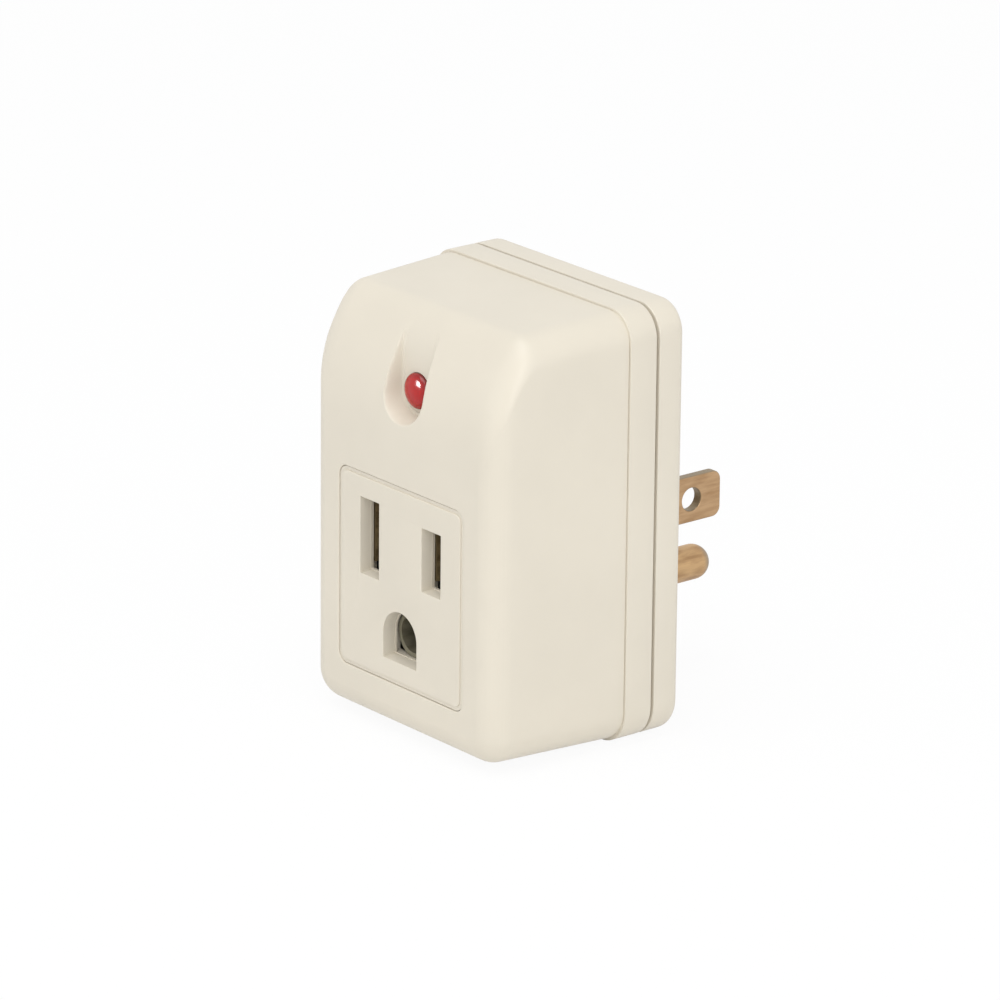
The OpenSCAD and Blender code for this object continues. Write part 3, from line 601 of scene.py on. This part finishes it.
def front_housing():
    """The housing from its rim over the skirt's step and the body to the closed front, and
    back along its inside."""
    shell = Shell()
    outer = [shell.loop(case_outline(inset), SKIRT_BACK + advance)
             for inset, advance in quarter_round(RIM_R)]
    outer += [shell.loop(case_outline(inset), BODY_BACK - advance)
              for inset, advance in reversed(quarter_round(STEP_R))]
    body_start = BODY_BACK + STEP_LINE
    outer += [shell.loop(case_outline(SKIRT_STEP + STEP_LINE), d) for d in (BODY_BACK, body_start)]
    rings = [shell.loop(body_outline(d, 0), d) for d in (body_start, *stations(0)[1:])]
    shell.chain([*outer, rings[0]])
    window, lamp = close_front(shell, rings, 0)

    inner = [shell.loop(body_outline(d, WALL), d) for d in stations(WALL)]
    back = [shell.loop(case_outline(SKIRT_STEP + WALL), TONGUE_END + CLEAR),
            shell.loop(case_outline(LIP_T), TONGUE_END + CLEAR),
            shell.loop(case_outline(LIP_T), SKIRT_BACK)]
    shell.chain([inner[0], *back, outer[0]])
    inner_window, inner_lamp = close_front(shell, inner, WALL)

    window_loops = [window]
    for out, sink in quarter_round(PLATE_BEVEL, depth=BEVEL_DEPTH)[1:]:
        window_loops.append(shell.loop(window_outline(out), DEPTH - sink))
    shell.chain([*window_loops, inner_window])
    shell.bridge(lamp, inner_lamp)
    return shell.build("front_housing_skin")


def prism(name, outline, d0, d1):
    """A tool for combine(): an outline between two depths."""
    shell = Shell()
    shell.solid([shell.loop(outline, d0), shell.loop(outline, d1)])
    return shell.build(name)


def rear_cover():
    """The tray behind the parting groove, with its tongue, screw posts and the plug's holes."""
    shell = Shell()
    loops = []
    for inset, advance in quarter_round(COVER_EDGE_R, COVER_EDGE_STEPS):
        loops.append(shell.loop(case_outline(inset), advance))
    for inset, advance in reversed(quarter_round(RIM_R)):
        loops.append(shell.loop(case_outline(inset), RIM_FRONT - advance))
    outside, within = LIP_T + CLEAR, LIP_T + CLEAR + TONGUE_T
    for inset, d in ((outside, RIM_FRONT), (outside, TONGUE_END), (within, TONGUE_END),
                     (within, WALL)):
        loops.append(shell.loop(case_outline(inset), d))
    shell.solid(loops)
    cover = shell.build("rear_cover_skin")
    posts = [prism("post", circle(x, z, POST_R), WALL / 2, TONGUE_END)
             for x, z in SCREW_PLACES]
    combine(cover, posts, "UNION")
    tools = [prism("hole", circle(x, z, SCREW_R + CLEAR), -WALL, 2 * TONGUE_END)
             for x, z in SCREW_PLACES]
    tools += [prism("recess", circle(x, z, SCREW_HEAD_R + CLEAR), -WALL, SCREW_SEAT)
              for x, z in SCREW_PLACES]
    for node in ("hot_blade", "neutral_blade"):
        x, half = blade_place(node)
        gap = CLEAR / 2
        outline = [(x + sx * (BLADE_HALF_T + gap), sz * (half + gap))
                   for sx, sz in ((1, -1), (1, 1), (-1, 1), (-1, -1))]
        tools.append(prism("slot", outline, -WALL, 2 * WALL))
    tools.append(prism("slot", circle(0, GROUND_Z, PIN_NECK_R + CLEAR), -WALL, 2 * WALL))
    combine(cover, tools)
    shade(cover)
    return cover


def slot_outline(x, half_w, half_h):
    """A blade slot round (x, 0), as a function of how far it is grown."""
    def grown(out):
        r = max(MOUTH_R + out, TIGHT_R)
        outline = rounded(half_w + out, -half_h - out, half_h + out, r)
        return [(x + px, pz) for px, pz in outline]
    return grown


def arch_outline(r, foot):
    """An arch with a flat foot round the ground hole, as a function of how far it is grown."""
    def grown(out):
        points = [((r + out) * cos(a), GROUND_Z + (r + out) * sin(a)) for a in fan(ARCH_STEPS, pi)]
        corner_r = max(MOUTH_R + out, TIGHT_R)
        for sx, start in ((-1, pi), (1, 3 * pi / 2)):
            cx, cz = sx * (r + out - corner_r), GROUND_Z - foot - out + corner_r
            points += [(cx + corner_r * cos(start + a), cz + corner_r * sin(start + a))
                       for a in fan(ARCH_CORNER_STEPS)]
        return points
    return grown


def mouth(grown, lead_in):
    """A tool for combine(): a hole's mouth in the outlet face, tapered over its lead-in and
    rounded at the surface. grown gives its outline, grown by a distance."""
    shell = Shell()
    loops = [shell.loop(grown(-TAPER), DEPTH - lead_in)]
    for out, sink in reversed(quarter_round(MOUTH_R)):
        loops.append(shell.loop(grown(out), DEPTH - sink))
    loops.append(shell.loop(grown(MOUTH_R), DEPTH + WALL))
    shell.solid(loops)
    return shell.build("mouth")


def outlet_face():
    """The plate with its flange and eased edge, two blade slots and the ground hole. Each has
    a tapered mouth, a narrower throat behind a ledge, and a wider pocket behind that."""
    shell = Shell()
    back = rounded(PLATE_HALF + PLATE_GAP + FLANGE, PLATE_FOOT - PLATE_GAP - FLANGE,
                   PLATE_TOP + PLATE_GAP + FLANGE, PLATE_R + FLANGE)
    plate = rounded(PLATE_HALF, PLATE_FOOT, PLATE_TOP, PLATE_R)
    filling = window_outline(-CLEAR)
    loops = [shell.loop(back, FACE_BACK), shell.loop(back, DEPTH - WALL),
             shell.loop(filling, DEPTH - WALL), shell.loop(filling, DEPTH - GAP_DEPTH),
             shell.loop(plate, DEPTH - GAP_DEPTH)]
    for inset, sink in reversed(quarter_round(PLATE_BEVEL, depth=BEVEL_DEPTH)):
        outline = rounded(PLATE_HALF - inset, PLATE_FOOT + inset, PLATE_TOP - inset,
                          PLATE_R - inset)
        loops.append(shell.loop(outline, DEPTH - sink))
    shell.solid(loops)
    face = shell.build("outlet_face_skin")
    behind = FACE_BACK - WALL
    tools = []
    for node, half_h in (("hot_blade", HOT_HALF_H), ("neutral_blade", NEUTRAL_HALF_H)):
        x, _ = blade_place(node)
        slot = slot_outline(x, SLOT_HALF, half_h)
        inner = slot_outline(x, SLOT_HALF - TAPER - LEDGE, half_h - TAPER - 2 * LEDGE)
        tools.append(mouth(slot, SLOT_LEAD_IN))
        tools.append(prism("throat", inner(0), behind, DEPTH - SLOT_LEAD_IN + LEDGE))
        tools.append(prism("pocket", slot(BEHIND_THROAT), behind, DEPTH - SLOT_THROAT))
    throat_foot = ARCH_FOOT - TAPER - 2 * LEDGE
    inner = arch_outline(ARCH_R - TAPER - 2 * LEDGE, throat_foot)
    hollow = arch_outline(ARCH_R + ARCH_BEHIND, throat_foot)
    tools.append(mouth(arch_outline(ARCH_R, ARCH_FOOT), ARCH_LEAD_IN))
    tools.append(prism("throat", inner(0), behind, DEPTH - ARCH_LEAD_IN + LEDGE))
    tools.append(prism("pocket", hollow(0), behind, DEPTH - WALL - 2 * LEDGE))
    combine(face, tools)
    shade(face)
    return face


def lathe(name, profile, place, steps=LATHE_STEPS):
    """Turns (radius, depth) points round an axis along the depth, through (x, z)."""
    shell = Shell()
    shell.solid([shell.loop(circle(*place, max(r, POLE_R), steps), d) for r, d in profile])
    return shell.build(name)


def indicator_lamp():
    """A lens with a flange, a barrel and an elliptical dome."""
    back = POCKET_FLOOR - LED_BARREL
    profile = [(LED_FLANGE_R, back - LED_FLANGE_T), (LED_FLANGE_R, back), (LED_R, back),
               (LED_R, POCKET_FLOOR)]
    profile += [(LED_R * cos(a), POCKET_FLOOR + LED_RISE * sin(a)) for a in fan(DOME_STEPS)[1:]]
    return lathe("indicator_lens", profile, (LED_X, LED_Z))


def ground_pin():
    """A round-tipped pin with a neck in the cover's wall and a collar behind it."""
    low, high = box_mm("ground_pin")
    end, collar = -high.y, -low.y
    straight = end + PIN_R
    profile = [(PIN_R * sin(a), straight - PIN_R * cos(a)) for a in fan(PIN_TIP_STEPS)]
    profile += [(PIN_R, -PIN_NECK_STEP), (PIN_NECK_R, 0), (PIN_NECK_R, WALL),
                (PIN_COLLAR_R, WALL), (PIN_COLLAR_R, collar)]
    return lathe("ground_pin_turned", profile, (0, GROUND_Z))


def blade_place(node):
    """x and half height of a blade where it stands out of the wall face."""
    low, high = box_mm(node)
    return (low.x + high.x) / 2, high.z - BLADE_SHOULDER


def blade_side(node, inset):
    """A blade's outline seen from its side, as (y, z) points, shrunk by inset."""
    low, high = box_mm(node)
    _, half = blade_place(node)
    tip, tail = high.y - inset, low.y + inset
    side, tip_r = half - inset, BLADE_TIP_R - inset
    corner = [(tip - tip_r * (1 - sin(a)), side - tip_r * (1 - cos(a)))
              for a in fan(BLADE_TIP_STEPS)]
    near, far = -WALL - inset, -WALL - BLADE_SHOULDER + inset
    wide = half + BLADE_SHOULDER - inset
    tail_foot = BLADE_TAIL_Z - BLADE_TAIL_HALF + inset
    tail_head = BLADE_TAIL_Z + BLADE_TAIL_HALF - inset
    points = [(tail, tail_foot), (far, tail_foot), (far, -wide), (near, -wide), (near, -side)]
    points += [(y, -z) for y, z in corner] + corner[::-1]
    return points + [(near, side), (near, wide), (far, wide), (far, tail_head), (tail, tail_head)]


def across_blade(x, rows):
    """A closed solid from loops of (y, z) points at offsets from x, from left to right."""
    shell = Shell()
    shell.solid([[shell.add(x + offset, -y, z) for y, z in loop] for offset, loop in rows])
    return shell


def blade(node):
    """A stamped blade with its shoulder, tail, round corners, eased edges and punched hole."""
    x, _ = blade_place(node)
    rows = [(advance - BLADE_HALF_T, blade_side(node, inset))
            for inset, advance in quarter_round(BLADE_EDGE_R)]
    rows += [(-offset, loop) for offset, loop in reversed(rows)]
    piece = across_blade(x, rows).build(node + "_stamped")
    hole = [(-2 * BLADE_HALF_T, HOLE_R + HOLE_EDGE_R)]
    hole += [(advance - BLADE_HALF_T, HOLE_R + inset)
             for inset, advance in quarter_round(HOLE_EDGE_R)]
    hole += [(-offset, r) for offset, r in reversed(hole)]
    punch = across_blade(x, [(offset, circle(PUNCH_AT, 0, r)) for offset, r in hole])
    combine(piece, [punch.build("punch")])
    even_flats(piece)
    return piece


def cover_screws():
    """Pan-head screws with a cross recess, each turned by another angle."""
    screws = []
    top, tip = SCREW_SEAT - SCREW_HEAD_H, SCREW_SEAT + SCREW_LENGTH
    rim, dome = SCREW_SEAT - SCREW_RIM, SCREW_HEAD_H - SCREW_RIM
    profile = [(SCREW_HEAD_R * sin(a), rim - dome * cos(a)) for a in fan(HEAD_STEPS)]
    profile += [(SCREW_HEAD_R, SCREW_SEAT), (SCREW_R, SCREW_SEAT), (SCREW_R, tip - SCREW_R),
                (0, tip)]
    arm, half = DRIVER_ARM, DRIVER_HALF_T
    for n, (x, z) in enumerate(SCREW_PLACES):
        screw = lathe(f"cover_screw_{n}", profile, (x, z), SCREW_STEPS)
        turn = radians(FIRST_TURN + NEXT_TURN * n)
        tools = []
        for a in (turn, turn + pi / 2):
            outline = [(x + u * cos(a) - v * sin(a), z + u * sin(a) + v * cos(a))
                       for u, v in ((arm, -half), (arm, half), (-arm, half), (-arm, -half))]
            tools.append(prism("driver", outline, top - WALL, top + SCREW_HEAD_H / 2))
        combine(screw, tools)
        shade(screw)
        screws.append(screw)
    return screws


# Materials

def srgb(r, g, b):
    """Linear colour of 8-bit display values."""
    def linear(v):
        v /= 255
        return v / 12.92 if v <= 0.04045 else ((v + 0.055) / 1.055) ** 2.4
    return linear(r), linear(g), linear(b), 1.0


class Finish:
    """A Principled material with helpers for mottled colour and surface grain."""

    def __init__(self, name, roughness, metallic=0.0):
        self.material = bpy.data.materials.new(name)
        self.material.use_nodes = True
        self.nodes = self.material.node_tree.nodes
        self.links = self.material.node_tree.links
        self.shader = self.nodes["Principled BSDF"]
        self.shader.inputs["Roughness"].default_value = roughness
        self.shader.inputs["Metallic"].default_value = metallic
        coordinates = self.nodes.new("ShaderNodeTexCoord")
        self.place = coordinates.outputs["Object"]
        self.facing = coordinates.outputs["Normal"]

    def noise(self, size, stretch=(1, 1, 1), detail=3.0):
        """A noise whose features are about size millimetres, longer where stretch is more."""
        scale = self.nodes.new("ShaderNodeMapping")
        scale.inputs["Scale"].default_value = [1 / (size * MM * s) for s in stretch]
        self.links.new(self.place, scale.inputs["Vector"])
        noise = self.nodes.new("ShaderNodeTexNoise")
        noise.inputs["Scale"].default_value = 1.0
        noise.inputs["Detail"].default_value = detail
        self.links.new(scale.outputs["Vector"], noise.inputs["Vector"])
        return noise.outputs["Fac"]

    # The facing mask that places the brass's painted edge shade and painted reflection
    def across(self, axis, near=0.9, far=0.4):
        """0 where the surface faces along an axis, and 1 where it faces away from it. The
        axis is 0, 1 or 2, for x, y or z."""
        split = self.nodes.new("ShaderNodeSeparateXYZ")
        self.links.new(self.facing, split.inputs["Vector"])
        size = self.nodes.new("ShaderNodeMath")
        size.operation = "ABSOLUTE"
        self.links.new(split.outputs[axis], size.inputs[0])
        span = self.nodes.new("ShaderNodeMapRange")
        span.inputs["From Min"].default_value = near
        span.inputs["From Max"].default_value = far
        self.links.new(size.outputs[0], span.inputs["Value"])
        return span.outputs["Result"]

    def ramp(self, factor, stops):
        """Colours between (position, colour) stops."""
        ramp = self.nodes.new("ShaderNodeValToRGB")
        while len(ramp.color_ramp.elements) < len(stops):
            ramp.color_ramp.elements.new(0.5)
        for element, (at, colour) in zip(ramp.color_ramp.elements, stops):
            element.position = at
            element.color = colour
        self.links.new(factor, ramp.inputs["Fac"])
        return ramp.outputs["Color"]

    def mix(self, factor, a, b, blend="MIX"):
        """Two colours mixed, each a colour or a socket."""
        mix = self.nodes.new("ShaderNodeMix")
        mix.data_type = "RGBA"
        mix.blend_type = blend
        for socket, value in ((0, factor), (6, a), (7, b)):
            if isinstance(value, (float, int, tuple)):
                mix.inputs[socket].default_value = value
            else:
                self.links.new(value, mix.inputs[socket])
        return mix.outputs[2]

    def colour(self, output):
        self.links.new(output, self.shader.inputs["Base Color"])

    def rough(self, factor, low, high):
        """Roughness from low to high as the factor goes from 0 to 1."""
        span = self.nodes.new("ShaderNodeMapRange")
        span.inputs["To Min"].default_value = low
        span.inputs["To Max"].default_value = high
        self.links.new(factor, span.inputs["Value"])
        self.links.new(span.outputs["Result"], self.shader.inputs["Roughness"])

    def grain(self, height, depth):
        """Bump of this depth in millimetres."""
        bump = self.nodes.new("ShaderNodeBump")
        bump.inputs["Distance"].default_value = depth * MM
        self.links.new(height, bump.inputs["Height"])
        self.links.new(bump.outputs["Normal"], self.shader.inputs["Normal"])


def moulded(name, colour, roughness=0.42, spread=0.03, grain=0.004):
    """Moulded plastic: faint cloudy colour and a fine satin grain."""
    finish = Finish(name, roughness)
    darker = tuple(c * (1 - spread) for c in colour[:3]) + (1.0,)
    clouds = finish.noise(size=14)
    finish.colour(finish.ramp(clouds, [(0.35, darker), (0.65, colour)]))
    finish.grain(finish.noise(size=0.35, detail=2), grain)
    finish.rough(finish.noise(size=5), roughness - 0.04, roughness + 0.04)
    return finish.material


def brass_painted_edge_shade_and_glint(name, bright, dull, edge, axis=0, metallic=0.7, span=(0.9, 0.4)):
    """Rolled or turned brass, mottled by handling, with fine lines along it. Its edges are
    painted greyer: painted shade on what faces away from x on a strip, and on what faces
    along y on a turned piece, a painted reflection at the pin's tip and painted shade on the
    sleeve's front ring."""
    finish = Finish(name, 0.4, metallic=metallic)
    blotches = finish.noise(size=1.1, stretch=(1, 4, 1), detail=7)
    lines = finish.noise(size=0.2, stretch=(1, 14, 1), detail=4)
    base = finish.ramp(blotches, [(0.36, dull), (0.6, bright)])
    streaks = finish.ramp(lines, [(0.3, (0.74, 0.71, 0.68, 1)), (0.62, (1, 1, 1, 1))])
    worn = finish.mix(0.4, base, streaks, "MULTIPLY")
    # Painted shade on a strip's edges and a sleeve's front ring, painted reflection on a pin's tip
    ends = (worn, edge) if axis == 0 else (edge, worn)
    finish.colour(finish.mix(finish.across(axis, *span), *ends))
    finish.rough(blotches, low=0.52, high=0.36)
    finish.grain(lines, depth=0.006)
    return finish.material


def plated(name, colour, roughness=0.35):
    """Plated or drawn metal: faint spots and fine lines along it."""
    finish = Finish(name, roughness, metallic=1.0)
    darker = tuple(c * 0.8 for c in colour[:3]) + (1.0,)
    spots = finish.noise(size=1.4, detail=5)
    finish.colour(finish.ramp(spots, [(0.35, darker), (0.65, colour)]))
    finish.rough(spots, roughness + 0.1, roughness - 0.05)
    finish.grain(finish.noise(size=0.15, stretch=(1, 8, 1)), depth=0.003)
    return finish.material


def lens_with_painted_shading(name):
    """Tinted lens with painted light and shade: lighter at the tip of the dome, deep red where it
    enters its hole.
    """
    below_floor = 0.1
    finish = Finish(name, roughness=0.12)
    split = finish.nodes.new("ShaderNodeSeparateXYZ")
    finish.links.new(finish.place, split.inputs["Vector"])
    rise = finish.nodes.new("ShaderNodeMapRange")
    rise.inputs["From Min"].default_value = -(POCKET_FLOOR - below_floor) * MM
    rise.inputs["From Max"].default_value = -(POCKET_FLOOR + LED_RISE) * MM
    finish.links.new(split.outputs["Y"], rise.inputs["Value"])
    # Painted light towards the dome's tip and painted shade where the lens enters its hole, by
    # height over the pocket's floor
    body = finish.ramp(rise.outputs["Result"], [
        (0.0, srgb(92, 4, 4)), (0.3, srgb(142, 8, 7)), (0.8, srgb(178, 14, 10))])
    clouds = finish.ramp(finish.noise(size=0.9), [
        (0.35, (0.88, 0.86, 0.86, 1)), (0.65, (1, 1, 1, 1))])
    finish.colour(finish.mix(0.6, body, clouds, "MULTIPLY"))
    finish.shader.inputs["Subsurface Weight"].default_value = 0.25
    finish.shader.inputs["Subsurface Radius"].default_value = (1.0, 0.2, 0.1)
    finish.shader.inputs["Subsurface Scale"].default_value = 0.6 * MM
    return finish.material


FINISHES = {
    "ivory_plastic": (moulded, srgb(219, 211, 195)),
    "black_plastic": (moulded, srgb(38, 37, 36), 0.5, 0.2),
    "white_plastic": (moulded, srgb(222, 220, 214)),
    "blue_plastic": (moulded, srgb(40, 80, 150), 0.3),
    "yellow_plastic": (moulded, srgb(214, 178, 60), 0.3),
    "red_lens": (lens_with_painted_shading,),
    # The third colour of each brass is painted shade on its edges
    "plug_brass": (brass_painted_edge_shade_and_glint, srgb(192, 158, 120), srgb(174, 139, 101), srgb(146, 130, 106)),
    # The contacts' brass is darker than the plug's, as painted shade for the dark pockets they sit
    # in
    "contact_brass": (brass_painted_edge_shade_and_glint, srgb(158, 140, 104), srgb(122, 106, 76), srgb(140, 124, 92)),
    "zinc_steel": (plated, srgb(196, 196, 192)),
    "iron": (plated, srgb(170, 170, 172)),
    "tinned_wire": (plated, srgb(205, 205, 208), 0.25),
    "copper_winding": (plated, srgb(184, 104, 60), 0.3),
    "board_laminate": (moulded, srgb(176, 148, 92), 0.55, 0.15),
    "varistor_epoxy": (moulded, srgb(36, 80, 150), 0.35, 0.1, 0.02),
    "capacitor_sleeve": (moulded, srgb(40, 48, 84), 0.25),
    "component_black": (moulded, srgb(30, 30, 30), 0.5),
    "resistor_beige": (moulded, srgb(205, 185, 140), 0.4),
    "wire_insulation": (moulded, srgb(28, 28, 28), 0.45),
}
MATERIALS = {name: make(name, *values) for name, (make, *values) in FINISHES.items()}
# The pin's grey third colour, on what faces along y, is a painted reflection on its tip
TURNED_BRASS = brass_painted_edge_shade_and_glint("turned_brass", srgb(203, 167, 122), srgb(172, 136, 96),
                          srgb(142, 134, 118), axis=1, metallic=0.6, span=(0.8, 0.15))
# The sleeve's third colour tones down its front ring, which faces along y, as painted shade
SLEEVE_PLATING = brass_painted_edge_shade_and_glint("sleeve_plating", srgb(158, 152, 132), srgb(122, 117, 98),
                            srgb(132, 128, 110), axis=1, metallic=0.5)


def dress(piece, slot, node, material=None):
    """Gives a new piece its finish and lets it stand for a CAD node."""
    piece.data.materials.clear()
    piece.data.materials.append(material or MATERIALS[slot])
    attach(piece, BODY)
    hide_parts(node)


for part in frame["record"]["subparts"]:
    skin = frame["nodes"][part["node"]].data
    skin.materials.clear()
    skin.materials.append(MATERIALS[part["material_slot"]])
# The grip sleeve, whose mouth shows in the ground hole, is paler than the other contacts
frame["nodes"]["ground_contact"].data.materials[0] = SLEEVE_PLATING

dress(front_housing(), "ivory_plastic", "front_housing")
dress(rear_cover(), "ivory_plastic", "rear_cover")
dress(outlet_face(), "ivory_plastic", "outlet_face")
LENS = indicator_lamp()
dress(LENS, "red_lens", "indicator_led")
dress(blade("hot_blade"), "plug_brass", "hot_blade")
dress(blade("neutral_blade"), "plug_brass", "neutral_blade")
dress(ground_pin(), "plug_brass", "ground_pin", TURNED_BRASS)
for screw in cover_screws():
    dress(screw, "zinc_steel", "cover_screws")


# Camera, floor and light

def place_camera():
    """Puts the camera round a target, and then a little aside and above to frame the part."""
    azimuth, elevation, roll = radians(50.82), radians(18.78), radians(0.57)
    target, distance = Vector((0, -15, 3)), 886.8
    aside, above = -0.82, -0.70
    focal_share = 6.8581
    back = Vector((sin(azimuth) * cos(elevation), -cos(azimuth) * cos(elevation),
                   sin(elevation)))
    level = Vector((cos(azimuth), sin(azimuth), 0))
    upright = level.cross(-back)
    right = cos(roll) * level + sin(roll) * upright
    up = cos(roll) * upright - sin(roll) * level
    data = bpy.data.cameras.new("camera")
    data.lens = data.sensor_width * focal_share
    camera = bpy.data.objects.new("camera", data)
    spot = (target + back * distance - right * aside - up * above) * MM
    camera.matrix_world = Matrix.Translation(spot) @ Matrix((right, up, back)).transposed().to_4x4()
    bpy.context.scene.collection.objects.link(camera)
    bpy.context.scene.camera = camera


def seen_white(nodes, links, lit, share, white_type):
    """Shows a share of plain white to the camera and in mirrors and glass, and lit to all
    else. white_type is the kind of node that gives the white."""
    def maths(operation, a):
        node = nodes.new("ShaderNodeMath")
        node.operation = operation
        links.new(a, node.inputs[0])
        return node

    path = nodes.new("ShaderNodeLightPath")
    seen = path.outputs["Is Camera Ray"]
    for ray in ("Is Glossy Ray", "Is Transmission Ray"):
        either = maths("MAXIMUM", seen)
        links.new(path.outputs[ray], either.inputs[1])
        seen = either.outputs[0]
    part = maths("MULTIPLY", seen)
    part.inputs[1].default_value = share
    mix = nodes.new("ShaderNodeMixShader")
    links.new(part.outputs[0], mix.inputs[0])
    links.new(lit, mix.inputs[1])
    white = nodes.new(white_type)
    white.inputs["Color"].default_value = (1, 1, 1, 1)
    links.new(white.outputs[0], mix.inputs[2])
    return mix.outputs[0]


def floor():
    """A wide sheet a hair below the part's foot, so that no two faces share a plane."""
    half_m, white_share = 3.0, 0.93
    mesh = bpy.data.meshes.new("floor")
    corners = [(-half_m, -half_m), (half_m, -half_m), (half_m, half_m), (-half_m, half_m)]
    level = (FOOT - FLOOR_GAP) * MM
    mesh.from_pydata([(x, y, level) for x, y in corners], [], [(0, 1, 2, 3)])
    plane = bpy.data.objects.new("floor", mesh)
    bpy.context.scene.collection.objects.link(plane)
    material = bpy.data.materials.new("pale_floor")
    material.use_nodes = True
    nodes, links = material.node_tree.nodes, material.node_tree.links
    shader = nodes["Principled BSDF"]
    shader.inputs["Base Color"].default_value = (0.9, 0.9, 0.9, 1)
    shader.inputs["Roughness"].default_value = 0.9
    shown = seen_white(nodes, links, shader.outputs[0], white_share, "ShaderNodeEmission")
    links.new(shown, nodes["Material Output"].inputs["Surface"])
    mesh.materials.append(material)


def sky():
    """A plain pale world, white where it is seen."""
    world = bpy.data.worlds.new("studio")
    bpy.context.scene.world = world
    world.use_nodes = True
    nodes, links = world.node_tree.nodes, world.node_tree.links
    lit = nodes["Background"]
    lit.inputs["Color"].default_value = (0.97, 0.985, 1.0, 1)
    lit.inputs["Strength"].default_value = 0.65
    shown = seen_white(nodes, links, lit.outputs[0], 1.0, "ShaderNodeBackground")
    links.new(shown, nodes["World Output"].inputs["Surface"])


# Places, sizes and powers of the softboxes, in metres and watts
CENTRE = (0, -0.015, 0.003)
FRONT_LAMP = (-0.27, -0.86, 0.26)
SOFTBOXES = (
    ("top_softbox", (0.1, -0.25, 0.75), 0.6, 2.7),
    ("front_softbox", FRONT_LAMP, 0.35, 0.6),
    ("side_softbox", (0.85, 0.06, 0.25), 0.5, 1.03),
    ("key_softbox", (0.68, -0.52, 0.40), 0.4, 1.48),
)
GLINT = ("glint_softbox", FRONT_LAMP, 0.3, 34.0)


def softbox(name, place, size, watts):
    """A square lamp aimed at the part."""
    data = bpy.data.lights.new(name, "AREA")
    data.size = size
    data.energy = watts
    light = bpy.data.objects.new(name, data)
    light.location = place
    light.rotation_euler = (Vector(CENTRE) - Vector(place)).to_track_quat("-Z", "Y").to_euler()
    bpy.context.scene.collection.objects.link(light)
    return light


def lens_glint():
    """A bright softbox that only the lens mirrors."""
    light = softbox(*GLINT)
    light.visible_diffuse = False
    only_lens = bpy.data.collections.new("only_lens")
    only_lens.objects.link(LENS)
    light.light_linking.receiver_collection = only_lens


place_camera()
floor()
sky()
for box in SOFTBOXES:
    softbox(*box)
lens_glint()
bpy.context.scene.view_settings.view_transform = "Standard"
